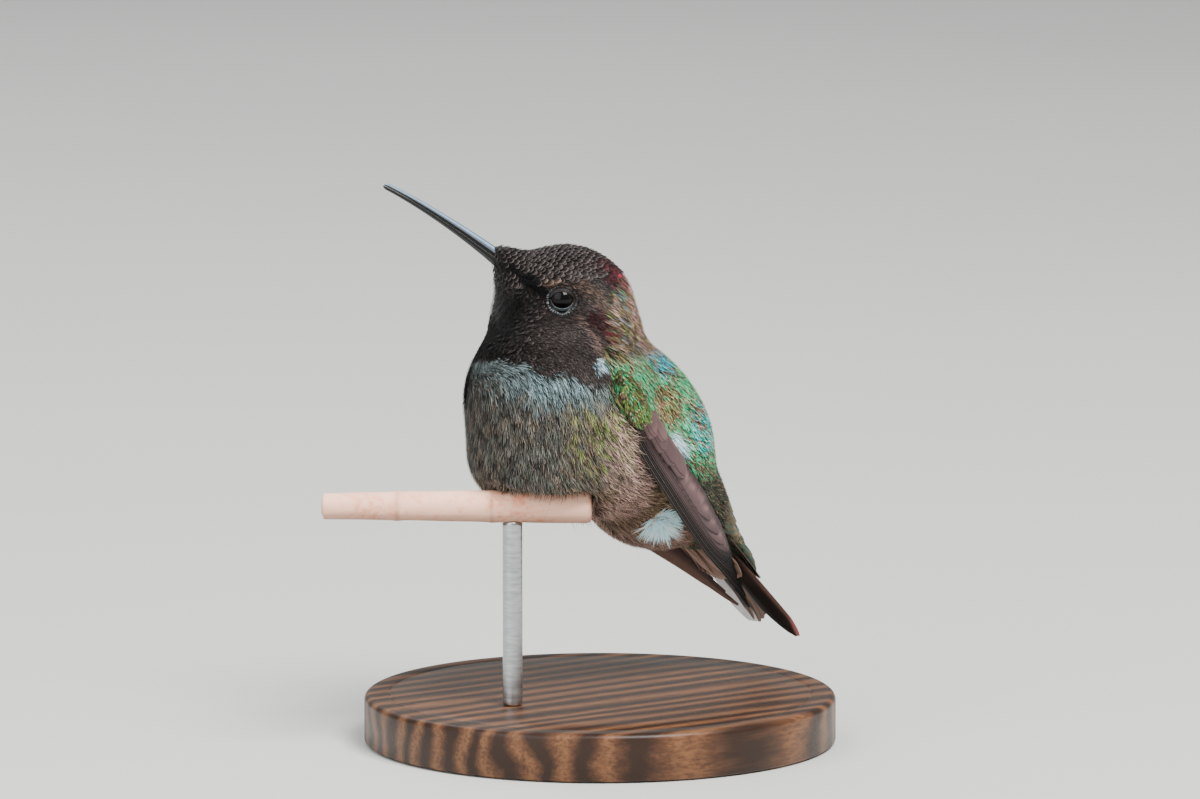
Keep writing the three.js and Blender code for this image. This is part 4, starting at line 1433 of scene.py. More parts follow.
@dataclass
class Body:
    """The skin and the coat of head, neck and trunk."""

    form: Form
    marks: Markings
    rows: int = 420
    columns: int = 320
    skin_depth: float = 0.5
    face_depth: float = 0.24
    lie_depth: float = 0.3
    eye_at: Spot = (0.32, 5.3, 0.22)
    eye_room: tuple[float, float] = (1.62, 1.36)

    def __post_init__(self) -> None:
        """Meshes the form once for the coat, and finds what lies where on it."""
        cover = Surface.over(self.form, Layer.COAT, self.rows, self.columns)
        self.at = self.marks.places(cover.points.reshape(-1, 3)).shaped(cover.points.shape[:2])
        depth = mix(self.lie_depth, 0.12, self.face_share(self.at))
        self.lie = Surface(cover.points - cover.normal * depth[..., None])
        self.lean = self.leaning()

    @staticmethod
    def face_share(w: Places) -> Array:
        """1 on the face and crown, 0 from the neck down."""
        return ramp(w.up, -5.0, 0.5) * ramp(w.fore, -7, -2)

    def bare(self) -> Array:
        """1 where no small feathers grow: round the eyes, on the bill's root, and where a wing shows."""
        w = self.at
        fore, up = w.fore - self.eye_at[0], w.up - self.eye_at[2]
        eye = (np.hypot(fore / self.eye_room[0], up / self.eye_room[1]) < 1) & (w.side > 4)
        wing = (w.along > 0.075) & (w.across > 0.0) & (w.across < 1.0) & (w.out > -3)
        wing &= ~((w.along < 0.2) & (w.across > 0.8 - (w.along - 0.075) * 1.2))
        poles = np.minimum(np.arange(self.rows), np.arange(self.rows)[::-1])[:, None] < 5
        return eye | wing | poles | ((w.fore > 9.9) & (w.up > 0))

    def leaning(self) -> Array:
        """How far feathers turn towards the back from the run of the rows, in radians, over the grid."""
        w = self.at
        hand = np.where(np.arange(self.columns) < self.columns / 2, 1.0, -1.0)[None, :]
        fringe = ramp(w.across, -1.6, -0.2) * ramp(-w.across, -1.0, -0.2) * ramp(w.along, 0.03, 0.1)
        fringe = fringe * ramp(-w.along, -0.62, -0.45) * (1 - w.back)
        return hand * 0.5 * fringe

    def skin(self) -> Piece:
        """The skin: the form with all its hollows, drawn in by the coat's depth, with the legs joined on."""
        inner = Surface.over(self.form, Layer.SKIN, 300, 240)
        flat = inner.points.reshape(-1, 3)
        places = self.marks.places(flat)
        depth = mix(self.skin_depth, self.face_depth, self.face_share(places))
        eye = np.hypot(places.fore - self.eye_at[0], places.up - self.eye_at[2])
        depth = depth + 0.9 * ramp(-eye, -1.5, -0.9) * (places.side > 4)
        body = tube((flat - inner.normal.reshape(-1, 3) * depth[:, None]).reshape(inner.points.shape))
        points, faces = joined([body, *(self.leg(side) for side in Side)])
        paint = self.marks.paint(points, 5)
        v = np.repeat(np.linspace(0, 1, inner.rows), inner.columns)
        u = np.tile(np.arange(inner.columns) / inner.columns, inner.rows)
        extra = np.tile([[0.02, 0.02]], (len(points) - len(body[0]), 1))
        uv = np.vstack([np.stack([u, v], -1), [[0.5, 0.0], [0.5, 1.0]], extra])[faces]
        wraps = (uv[..., 0].max(1) - uv[..., 0].min(1)) > 0.5
        uv[..., 0] = np.where(wraps[:, None] & (uv[..., 0] < 0.5), uv[..., 0] + 1, uv[..., 0])
        tint = mix(paint.root, paint.tip, 0.12)
        maps = {"OFBake": 0.005 + 0.98 * uv.reshape(-1, 2)}
        return Piece("skin", points, faces, {"tint": tint}, {"gleam": paint.gleam * 0.2}, maps)

    def leg(self, side: Side) -> Mesh:
        """A short leg from inside the belly to the foot: a tapering tube."""
        perch = self.form.perch
        ankle = perch.round(np.array(-7.4 + side.value * 3.6), -6, 0.9)
        hip = np.array([5.2 * side.value, ankle[1] + 4.4, ankle[2] + 7.2])
        t = np.linspace(0, 1, 24)[:, None]
        knee = mix(ankle, hip, 0.5) + np.array([0, 0.8, 0])
        path = (1 - t) ** 2 * ankle + 2 * t * (1 - t) * knee + t**2 * hip
        return tube(sweep(path, mix(0.5, 1.4, t[:, 0]), 16))

    def grow(self, patch: Patch, seed: int) -> Piece:
        """Grows one patch of the coat.

        Args:
            patch: the patch.
            seed: the number that its disorder starts from.

        Returns:
            The piece.
        """
        grid = np.where((patch.where > 0.5) & ~self.bare(), patch.spacing, 1e3)
        v, u = self.lie.scatter(grid, seed, patch.jitter, patch.vaned)
        lean = self.lie.look(self.lean, v, u)
        roots = self.lie.plant(v, u, lean + np.random.default_rng(seed + 900).normal(0, patch.unruly, len(v)))
        hooded = patch.vaned and self.lie.look(self.at.hood, v, u).mean() > 0.5
        paint = self.marks.paint(roots.point, seed, hooded)
        pale = np.full(len(v), patch.pale)
        paint.lean(pale, self.marks.ash, self.marks.blush * 1.1, self.marks.blush)
        rim = self.form.hollow_field(roots.point)
        over = ramp(-rim, -2.2, -0.8) * ramp(rim, -0.3, 0.2)
        over = over * (roots.point[:, 2] > self.form.perch.height + 2)
        free = np.maximum(patch.free, 0.9 * over)
        crop = Crop(patch.name, roots, patch.kind, paint, self.size_at(roots), free, seed)
        return crop.scales() if patch.vaned else crop.plumes()

    def size_at(self, roots: Roots) -> Array:
        """How large feathers are at roots: smallest on the face, fullest on the flanks."""
        w = self.marks.places(roots.point)
        eye = np.hypot(w.fore - self.eye_at[0], w.up - self.eye_at[2]) + 5 * (w.side < 4)
        small = mix(1.0, 0.72, self.face_share(w)) * mix(1.0, 0.85, ramp(w.hood, 0, 1))
        front = ramp(w.fore, 5.5, 9.0) * ramp(w.up, -4.5, -1.5)
        return small * mix(0.6, 1.0, ramp(eye, 1.6, 3.2)) * mix(1.0, 0.6, front)

    def patches(self) -> list[Patch]:
        """Every patch of the coat, from the crown to the tail's root."""
        w, v = self.at, np.linspace(0, 1, self.rows)[:, None]
        left = np.broadcast_to((np.arange(self.columns) < self.columns / 2)[None, :], w.hood.shape)
        hood = w.hood > 0.5
        crown = hood & (w.up + 0.12 * w.fore > 2.7)
        mingled = w.round + np.random.default_rng(9).uniform(-14, 14, w.round.shape)
        throat = hood & ~crown & (mingled < 60 - 20 * ramp(w.up, 0.4, 1.4)) & (w.up < 3.4)
        cheek = hood & ~crown & ~throat
        front, rear = (1 - w.hood) * (1 - w.back), (1 - w.hood) * w.back
        nape = (rear > 0.5) & (w.body[..., 2] > 50.2)
        nape |= (front > 0.5) & (w.body[..., 2] > 50.2) & (w.round > 96)
        rear, front = rear * ~nape, front * ~nape
        low = v > 0.74
        dull = Plumage("soft_plumage", 0.7, 0.2, 0.05)
        bright = Plumage("gleaming_plumage", 0.5, 0.2, 0.0)
        scale = Tuft(1.7, 0.62, 7, lift=0.16, sink=0.08, bend=0.02, vary=0.15, dark=0.45)
        gorget = Tuft(1.2, 0.4, 7, lift=0.14, sink=0.08, bend=0.04, vary=0.5, dark=0.5)
        down = Tuft(1.6, 0.32, 5, 0.058, lift=0.16, vary=0.6, bend=0.08, dark=0.4, painted_gap_shade=0.12)
        breast = Tuft(2.3, 0.42, 6, 0.066, lift=0.26, vary=0.7, bend=0.1, dark=0.36, painted_gap_shade=0.2)
        neck = Tuft(2.0, 0.38, 6, 0.065, lift=0.24, vary=0.8, bend=0.08, dark=0.38, painted_gap_shade=0.24)
        mantle = Tuft(1.9, 0.46, 6, 0.09, lift=0.22, rounded=0.6, vary=0.7, bend=0.05, dark=0.4, painted_gap_shade=0.24)
        cover = Tuft(4.2, 1.0, 9, lift=0.2, sink=0.1, vary=0.25, bend=0.05, dark=0.1)
        wisp = Tuft(3.0, 0.6, 4, 0.06, 5, 0.5, vary=0.5, bend=0.25, dark=0.3, painted_gap_shade=0.25)
        along, across = w.along, w.across
        fringe = (front > 0.3) & (along > 0.1) & (along < 0.46) & (across > -0.5) & (across < -0.02)
        return [
            Patch("crown_scales", crown, scale, 0.62, bright, True, 0.08, 0.4, 0.05),
            Patch("throat_scales", throat, gorget, 0.46, bright, True, 0.2, 0.2, 0.12),
            Patch("cheek_plumes", cheek, down, 0.3, bright, unruly=0.12),
            Patch("nape_plumes", nape, neck, 0.4, bright, unruly=0.2),
            Patch("breast_plumes_left", front * left * ~low, breast, 0.46, dull),
            Patch("breast_plumes_right", front * ~left * ~low, breast, 0.46, dull),
            Patch("vent_plumes", front * low * (v < 0.96), breast, 0.46, dull, free=0.6, unruly=0.2),
            Patch("mantle_plumes_left", rear * left * ~low, mantle, 0.46, bright),
            Patch("mantle_plumes_right", rear * ~left * ~low, mantle, 0.46, bright),
            Patch("rump_plumes", rear * low * (v < 0.93), mantle, 0.54, bright, free=0.1),
            Patch("tail_coverts", rear * (v > 0.8) * (v < 0.985), cover, 1.3, bright, True, 0.1, 0.2, 0.05),
            Patch("flank_fringe", fringe, wisp, 0.5, dull, free=0.8, unruly=0.25, pale=0.5),
        ]

    def puff(
        self, name: str, spots: tuple, reach: float, kind: Tuft, fan: float, free: float, seed: int
    ) -> Piece:
        """A loose pale tuft whose strands spread from one small place.

        Args:
            name: the piece's name.
            spots: the middle of its roots on the left side, and on the right.
            reach: how far from it roots grow.
            kind: the make of its tufts.
            fan: the widest angle that they turn aside, in radians.
            free: how far their tips stand off the body.
            seed: the number that its disorder starts from.

        Returns:
            The piece, with a tuft on each side of the body.
        """
        left, right = (distance(self.lie.points, at) < reach for at in spots)
        grid = np.where(left | right, 0.16, 1e3)
        v, u = self.lie.scatter(grid, seed)
        rng = np.random.default_rng(seed)
        roots = self.lie.plant(v, u, fan * rng.uniform(-1, 1, len(v)))
        paint = self.marks.paint(roots.point, seed)
        grey = rng.uniform(0, 1, len(v))[:, None]
        white = mix(self.marks.mist * 2.3, self.marks.white * 1.5, grey)
        paint.lean(np.ones(len(v)), self.marks.mist * 0.5, white, white)
        size = rng.uniform(0.6, 1.1, len(v))
        hung = np.where(roots.point[:, 0] < 0, 0.1, 1.0) * free
        return Crop(name, roots, kind, paint, size * np.where(hung < free, 0.7, 1.0), hung, seed).plumes()

    def puffs(self) -> list[Piece]:
        """The white tufts: by the vent, behind the wing, and behind the hood's corner."""
        vent = Tuft(2.8, 0.3, 5, 0.055, 6, 0.9, vary=0.4, bend=0.3, dark=0.0)
        slip = Tuft(4.4, 0.28, 5, 0.055, 6, 0.5, vary=0.5, bend=0.25, dark=0.1, painted_gap_shade=0.3)
        spot = Tuft(1.5, 0.2, 4, 0.06, lift=0.3, vary=0.6, bend=0.1, dark=0.3, painted_gap_shade=0.2)
        points = self.lie.points.reshape(-1, 3)
        far = self.form.head.place(-4.0, -13.2, -6.0)
        far = points[distance(points, far).argmin()]
        vents, slips = ((6.8, 4.1, 28.1), (-6.8, 4.1, 29.3)), ((11.3, 2.2, 40.4), (-11.3, 2.2, 41.6))
        return [
            self.puff("vent_tuft", vents, 1.15, vent, 2.0, 0.5, 61),
            self.puff("wing_tuft", slips, 0.75, slip, 0.3, 0.3, 62),
            self.puff("collar_tuft", (self.form.head.place(-4.0, 13.2, -6.0), far), 0.4, spot, 0.25, 0.3, 63),
        ]
# ---------------------------------------------------------------- bill and eyes


@dataclass
class Bill:
    """A long straight bill in two halves, rising from the face."""

    head: Head
    base: tuple[float, float] = (7.75, 3.9)
    length: float = 18.1
    sunk: float = 3.4
    root: tuple[float, float] = (2.1, 1.15)
    tip: tuple[float, float] = (0.42, 0.36)
    bow: float = 0.35
    lower_share: float = 0.82

    def half(self, upper: bool) -> Piece:
        """One half of the bill.

        Args:
            upper: whether it is the upper half.

        Returns:
            The piece. A section is half an oval over the mouth line; width falls as t^0.75 and height
            as t^0.7 from root to tip, and the middle line bows by bow x (1 - (2t - 1)^2).
        """
        side, fore, up = heading(self.head.bill_rise, self.head.turn)
        root = self.head.place(self.base[0], 0.0, self.base[1])
        t = np.linspace(0, 1, 90)
        hand = 1 if upper else -1
        wide = mix(self.root[0] * 0.62, self.tip[0] * 0.7, t**0.75)
        tall = mix(self.root[1], self.tip[1], t**0.7) * (1.0 if upper else self.lower_share)
        end = np.sqrt(np.clip((1.004 - t) * 40, 0.02, 1))
        tall = tall + (0.0 if upper else 0.5) * (1 - t) ** 4
        wide, tall = wide * end, tall * end
        bow = self.bow * (1 - (2 * t - 1) ** 2) - 0.3 * t**6
        middle = root + fore * mix(-self.sunk, self.length, t)[:, None] + up * bow[:, None]
        turn = np.linspace(0, np.pi, 22)
        ridge = 1 + 0.10 * bell(turn - np.pi / 2, 0.3)
        groove = 1 - 0.12 * bell(np.abs(turn - np.pi / 2) - 0.75, 0.2)
        x = wide[:, None] * np.cos(turn)[None, :]
        shape = (np.sin(turn) ** 0.85 * ridge * groove)[None, :]
        y = hand * (0.05 + tall[:, None] * shape)
        arc = middle[:, None] + side * x[..., None] + up * y[..., None]
        flat_x = np.linspace(-1, 1, 8)[None, 1:-1] * wide[:, None]
        floor = middle[:, None] + side * flat_x[..., None] + up * (hand * 0.05)
        points, faces = tube(np.concatenate([arc, floor], axis=1))
        # Painted highlight: a pale blue streak along the upper half's sides stands for light on the bill; the
        # lower half keeps almost none of it.
        streak = 0.25 + bell(np.abs(turn - np.pi / 2) - 0.5, 0.26) - 0.5 * bell(turn - np.pi / 2, 0.2)
        streak = np.tile(streak * ramp(np.sin(turn), 0.3, 0.6), (len(t), 1))
        pale = np.concatenate([streak, 0 * flat_x], axis=1)
        pale = np.append(pale.ravel(), [0, 0])[:, None]
        painted_highlight_tint = mix(srgb(10, 10, 13), srgb(128, 152, 178), pale if upper else pale * 0.01)
        return Piece(f"bill_{'upper' if upper else 'lower'}_horn", points, faces, {"tint": painted_highlight_tint})


@dataclass
class Eyes:
    """Dark eyes with a lid ring of bare blue-grey skin and a fringe of small pale beads."""

    head: Head
    form: Form
    radius: float = 1.9
    fore: float = 0.32
    up: float = 0.22
    out: float = 5.3
    opening: tuple[float, float] = (1.34, 1.06)
    rim: tuple[float, float] = (1.72, 1.46)
    beads: int = 40

    def ball(self, side: Side) -> Piece:
        """An eyeball: rings of latitude about the axis that looks outwards, with a black middle."""
        rows, columns = 40, 64
        tip = np.linspace(0.02, np.pi - 0.02, rows)[:, None]
        turn = circle(columns)[None, :]
        cap = self.radius * (1 + 0.03 * bell(tip, 0.45))
        x, y = cap * np.sin(tip) * np.cos(turn), cap * np.sin(tip) * np.sin(turn)
        z = cap * np.cos(tip) + 0 * turn
        rings = self.head.place(self.fore + x, (self.out + z) * side.value, self.up + y)
        points, faces = tube(rings)
        ring = np.append(np.repeat(tip[:, 0], columns), [0, np.pi])[:, None]
        brown = mix(srgb(8, 8, 9), srgb(20, 15, 13), ramp(ring, 0.42, 0.5))
        return Piece(f"eye_{side.word}_ball", points, faces, {"tint": brown})

    def lid(self, side: Side) -> Piece:
        """A ring of two soft folds from the open eye to the feathers.

        Across the ring, w runs from the opening to the rim; the fold stands out from the ball by
        0.06 + 0.13 |sin(2 pi w)| and sinks to the skin at the rim.

        Args:
            side: the bird's own side.

        Returns:
            The piece, paler along each fold's lower side.
        """
        columns, rows = 96, 22
        turn = circle(columns)[:, None]
        w = np.linspace(0, 1, rows)[None, :]
        a, b = (mix(self.opening[n], self.rim[n], w) for n in (0, 1))
        corner = 0.22 * bell(turn - 0.12, 0.3) + 0.12 * bell(turn - np.pi, 0.3)
        x = a * np.cos(turn) * (1 + corner * (1 - 0.4 * w))
        y = b * np.sin(turn)
        dome = np.sqrt(np.maximum(self.radius**2 - x**2 - y**2, 0.05))
        fold = 0.06 + 0.13 * np.abs(np.sin(2 * np.pi * np.clip(w, 0, 1)))
        z = np.maximum(self.out + dome + fold, self.out + 1.0) - 0.12 * (w > 0.98)
        back = z - mix(0.16, 0.45, w)
        rings = [self.head.place(self.fore + x, depth * side.value, self.up + y) for depth in (z, back)]
        shell = np.concatenate([rings[0], rings[1][:, ::-1]], axis=1)
        points = shell.reshape(-1, 3)
        count = shell.shape[1]
        i, j = np.arange(columns)[:, None], np.arange(count)[None, :]
        quad = [i * count + j, ((i + 1) % columns) * count + j]
        quad += [((i + 1) % columns) * count + (j + 1) % count, i * count + (j + 1) % count]
        faces = np.stack(np.broadcast_arrays(*quad), -1).reshape(-1, 4)
        first = points[faces[0]]
        outward = np.cross(first[1] - first[0], first[3] - first[0])
        if outward @ self.head.axes[0] * side.value < 0:
            faces = faces[:, ::-1]
        pale = np.abs(np.sin(2 * np.pi * w)) ** 1.5 * ramp(0.35 * np.cos(turn) - np.sin(turn), -0.35, 0.5)
        pale = np.concatenate([pale, 0 * pale], axis=1).reshape(-1, 1)
        tint = mix(srgb(26, 23, 24), srgb(104, 122, 130), pale)
        return Piece(f"lid_{side.word}", points, faces, {"tint": tint})

    def fringe(self, side: Side) -> Piece:
        """Small oval beads of feather round the lids: each an egg of 6 by 8 faces.

        Args:
            side: the bird's own side.

        Returns:
            The piece, with all of one eye's beads.
        """
        turn = circle(self.beads)
        rng = np.random.default_rng(31)
        turn = turn + rng.normal(0, 0.02, self.beads)
        grow = 1.09 + rng.normal(0, 0.015, self.beads)
        x, y = self.rim[0] * grow * np.cos(turn), self.rim[1] * grow * np.sin(turn)
        base = self.head.place(self.fore + x, 0 * x, self.up + y)
        outward = self.head.axes[0] * side.value
        depth = np.full(self.beads, 8.5)
        for _ in range(60):
            p = base + outward * depth[:, None]
            depth = depth - np.clip(self.form.lobe_field(p), -0.2, 0.2) * 0.8
        centre = base + outward * (depth - 0.06)[:, None]
        lat = np.linspace(0.05, np.pi - 0.05, 7)[:, None]
        lon = circle(8)[None, :]
        _, f, u = self.head.axes
        radial = unit(f * np.cos(turn)[:, None] + u * np.sin(turn)[:, None])
        tangent = np.cross(radial, outward)
        size = (0.1 + 0.03 * rng.uniform(-1, 1, self.beads))[:, None, None, None]
        ball = (
            np.cos(lat)[None, ..., None] * radial[:, None, None] * 1.5
            + (np.sin(lat) * np.cos(lon))[None, ..., None] * tangent[:, None, None]
            + (np.sin(lat) * np.sin(lon))[None, ..., None] * outward * 0.8
        )
        eggs = centre[:, None, None] + ball * size
        points, faces = joined([tube(egg) for egg in eggs])
        low = ramp(0.5 * np.cos(turn) - np.sin(turn), -0.6, 0.5)
        each = mix(srgb(34, 28, 27), srgb(120, 132, 138), (low * rng.uniform(0.1, 1.1, self.beads))[:, None])
        tint = np.repeat(each, len(points) // self.beads, axis=0)
        return Piece(f"eye_fringe_{side.word}", points, faces, {"tint": tint})


# ---------------------------------------------------------------- wings and tail


Feather = tuple[Array, Array, Array]  # points, faces, and (x, t, 1 on the lower face) for each point


def blade(centre: Array, face: Array, half: Array, thick: float, sag: float, shaft: float) -> Feather:
    """One long feather: a thin closed vane with a raised shaft.

    Across, x runs from -1 to 1. The upper face falls by sag x x^2 towards both edges and rises over the
    shaft as a narrow bell; the lower face lies thick under it.

    Args:
        centre: points down the middle, of shape (rows, 3).
        face: the way that its upper side looks.
        half: half widths.
        thick: thickness in millimetres.
        sag: how far its edges fall.
        shaft: where the shaft lies across, from -1 to 1.

    Returns:
        The feather.
    """
    along = unit(np.gradient(centre, axis=0))
    x = np.array([-1, -0.96, -0.9, -0.84, -0.76, -0.62, -0.42, -0.2, 0, 0.2, 0.4, 0.6, 0.78, 0.92, 1.0])
    x = np.unique(np.append(x, [shaft - 0.05, shaft, shaft + 0.05]))
    across = unit(np.cross(face, along))
    up = unit(np.cross(along, across))
    rise = -sag * x**2 + 0.07 * bell(x - shaft, 0.04)
    side = centre[:, None] + across[:, None] * (half[:, None] * x)[..., None]
    top = side + up[:, None] * rise[None, :, None]
    low = side + up[:, None] * (-sag * x**2 - thick * (1 - 0.7 * x**4))[None, :, None]
    rings = np.concatenate([top, low[:, ::-1]], axis=1)
    points, faces = tube(rings)
    t = np.linspace(0, 1, len(centre))
    under = np.repeat([0.0, 1.0], len(x))
    where = np.stack(np.broadcast_arrays(np.append(x, x[::-1])[None], t[:, None], under[None]), -1)
    return points, faces, np.vstack([where.reshape(-1, 3), [[0, 0, 0], [0, 1, 0]]])


def rows_of(count: int) -> Array:
    """Shares down a feather, crowded towards its tip: 1 - (1 - n / (count - 1))^1.4."""
    return 1 - (1 - np.linspace(0, 1, count)) ** 1.4


@dataclass
class Fan:
    """Long feathers gathered into one piece."""

    parts: list[Mesh] = field(default_factory=list)
    tints: list[Array] = field(default_factory=list)
    maps: list[Array] = field(default_factory=list)

    def add(self, feather: Feather, tint: Array) -> None:
        """Takes in a feather with its colours."""
        points, faces, where = feather
        self.parts.append((points, faces))
        self.tints.append(tint)
        self.maps.append(np.stack([(where[:, 0] + 1) / 2, where[:, 1]], -1))

    def piece(self, name: str) -> Piece:
        """All the feathers as one piece."""
        points, faces = joined(self.parts)
        return Piece(name, points, faces, {"tint": np.vstack(self.tints)}, {}, {"vane": np.vstack(self.maps)})


@dataclass
class Wings:
    """Two folded wings: ten primaries under four inner feathers, with coverts in steps over their roots."""

    sheet: WingSheet
    marks: Markings
    primaries: int = 10
    secondaries: int = 4
    thick: float = 0.1
    layer: float = 0.1
    innermost: float = 0.52
    sunk: float = 1.45
    edge: Array = shade(150, 132, 126)
    night: Array = shade(10, 8, 8)
    under: Array = shade(112, 86, 76)
    shaft: Array = shade(30, 24, 24)
    mauve: Array = shade(98, 76, 78)
    dusk: Array = shade(62, 48, 47)
    pink: Array = shade(152, 118, 116)

    def vane(
        self,
        side: Side,
        start: float,
        end: float,
        across: Array,
        half: Array,
        out: float,
        shaft: float,
        wave: float = 0.0,
    ) -> Feather:
        """One feather on the wing's sheet.

        Args:
            side: which wing.
            start: the share along the wing where it starts.
            end: the share where it ends.
            across: its middle's share across the wing, for each row.
            half: its half width, for each row.
            out: its height over the sheet.
            shaft: where its shaft lies.
            wave: how deep small ripples run over it, in millimetres.

        Returns:
            The feather.
        """
        t = rows_of(len(across))
        along = mix(start, end, t)
        ripple = wave * np.sin(t * 95 + 3 * np.sin(t * 17)) * ramp(t, 0.25, 0.5)
        centre = self.sheet.at(along, across, out + ripple, side)
        face = self.sheet.axes(along)[2] * side.mirror
        tip = np.sqrt(np.clip((1.012 - t) * 7, 0.01, 1))
        return blade(centre, face, half * tip, self.thick, 0.1, shaft * side.value)

    def flight(self, side: Side) -> Piece:
        """All primaries of a wing. Their middles crowd together where fewer feathers are left.

        Args:
            side: the bird's own side.

        Returns:
            The piece, its inner feathers mauve with a painted rippled highlight, and its outer ones nearly
            black.
        """
        t, last = rows_of(54), self.primaries - 1
        fan, rng = Fan(), np.random.default_rng(41)
        for i in range(self.primaries):
            end = mix(1.0, self.innermost, i / last)
            along = mix(0.1, end, t)
            crowd = np.maximum(1, last * np.clip((1.02 - along) / (1.02 - self.innermost), 0, 1))
            across = mix(0.27, 0.74, np.clip(i / crowd, 0, 1))
            width = self.sheet.coordinates(self.sheet.at(along, 0.5, 0.0))[3]
            half = np.maximum(0.5, 0.27 * width)
            out = -self.sunk + i * self.layer + 0.1
            feather = self.vane(side, 0.1, end, across, half, out, -0.82, 0.08 if i == last else 0.0)
            where = feather[2]
            x, row = where[:, 0] * side.value, where[:, 1]
            inward = ramp(i + 1.2 * (1 - row), 4.6, 7.2)[:, None]
            tint = mix(self.night, self.mauve * 0.85, inward)
            tint = mix(tint, tint * 0.45, ramp(x, 0.1, 0.95)[:, None])
            tint = mix(tint, tint * 0.5, ramp(-x, 0.6, 0.8)[:, None] * (1 - 0.6 * inward))
            tint = mix(tint, self.shaft, bell(x + 0.82, 0.06)[:, None] * (1 - 0.5 * inward))
            rim = (0.5 - 0.3 * inward) if i % 2 else 0.1
            tint = mix(tint, self.edge, ramp(-x, 0.965, 1.0)[:, None] * rim)
            # Painted highlight: rippled pink marks over the inner feathers stand for light caught on their
            # barbs.
            ripple = np.sin(row * 150 + 5 * np.sin(row * 31) + 3 * x)
            sheen = bell(x - 0.15, 0.35) * (0.55 + 0.45 * ripple)
            tint = mix(tint, self.pink, (sheen * ramp(row, 0.1, 0.35))[:, None] * inward * 0.55)
            tint = mix(tint, tint * 0.6, ramp(row, 0.8, 1.0)[:, None] * 0.5)
            below = mix(self.under, self.dusk, ramp(x, -0.2, 0.6)[:, None] * 0.8)
            tint = mix(tint, mix(below, self.edge, ramp(-x, 0.86, 0.97)[:, None]), where[:, 2:])
            fan.add(feather, tint * rng.uniform(0.85, 1.15))
        return fan.piece(f"wing_{side.word}_long_feathers")

    def inner(self, side: Side) -> Piece:
        """The inner feathers and the greater coverts, each step shorter and further out.

        Args:
            side: the bird's own side.

        Returns:
            The piece.
        """
        t = rows_of(40)
        fan, rng = Fan(), np.random.default_rng(43)
        top = -self.sunk + self.layer * self.primaries
        large = range(self.secondaries)
        plan = [(0.36 - 0.05 * i, 0.76 - 0.07 * i, 1.35, top + 0.35 + 0.1 * i) for i in large]
        plan += [(0.23 - 0.03 * i, 0.8 - 0.22 * i, 0.95, top + 0.7 + 0.06 * i) for i in range(2)]
        for n, (end, across, half, out) in enumerate(plan):
            small = n >= self.secondaries
            width = half * ramp(t, -0.5, 0.6) if small else half + 0 * t
            feather = self.vane(side, 0.15, end, across + 0 * t, width, out, -0.5)
            x, row = feather[2][:, 0] * side.value, feather[2][:, 1]
            main = mix(self.mauve, self.pink, 0.1 + 0.3 * small) * 0.8
            tint = mix(main + 0 * x[:, None], self.dusk, ramp(-x, 0.5, 1.0)[:, None] * 0.6)
            tint = mix(tint, tint * 0.55, ramp(-row, -0.8, -0.3)[:, None] * 0.7)
            tint = mix(tint, self.shaft, bell(x + 0.5, 0.06)[:, None] * 0.7)
            rim = np.maximum(ramp(x, 0.78, 0.97) * 0.7, ramp(row + 0.1 * x**2, 0.93, 0.99))
            tint = mix(tint, self.pink, rim[:, None] * (0.6 if small else 0.3))
            fan.add(feather, tint * rng.uniform(0.88, 1.12))
        return fan.piece(f"wing_{side.word}_inner_feathers")

    def arm(self, side: Side) -> Surface:
        """The small coverts' surface over forearm and wrist: a low mound on the sheet's front."""
        u, turn = np.linspace(0, 1, 60)[:, None], circle(64)[None, :]
        swell = np.sqrt(np.clip(1 - np.abs(2 * u - 1) ** 2.6, 0.02, 1))
        along = mix(0.004, 0.185, u) + 0 * turn
        across = 0.47 + 0.46 * swell * np.cos(turn)
        out = -0.55 + 1.1 * swell * np.sin(turn)
        return Surface(self.sheet.at(along, across, out, side))

    def coverts(self, side: Side) -> tuple[Piece, Piece]:
        """The mound over the wing's arm.

        Args:
            side: the bird's own side.

        Returns:
            The mound itself, and the small rounded feathers that cover it.
        """
        mound = self.arm(side)
        points, faces = tube(mound.points)
        under = self.marks.paint(points, 51)
        colours = {"tint": mix(under.root, under.tip, 0.25)}
        base = Piece(f"wing_{side.word}_arm_skin", points, faces, colours, {"gleam": 0 * under.gleam})
        v, u = mound.scatter(np.full((mound.rows, mound.columns), 0.4), 52, 0.2)
        roots = mound.plant(v, u, np.random.default_rng(53).normal(0, 0.1, len(v)))
        outer = (roots.normal * self.sheet.axes(np.array(0.1))[2] * side.mirror).sum(-1) > -0.2
        roots = roots.keep(outer & (v > 0.02) & (v < 0.96))
        paint = self.marks.paint(roots.point, 54)
        kind = Tuft(
            1.4, 0.4, 5, 0.12, lift=0.2, sink=0.05, rounded=0.6, vary=0.5, bend=0.08, dark=0.36, painted_gap_shade=0.2
        )
        size = np.ones(len(roots.v))
        return base, Crop(f"wing_{side.word}_coverts", roots, kind, paint, size, size * 0.3, 55).plumes()


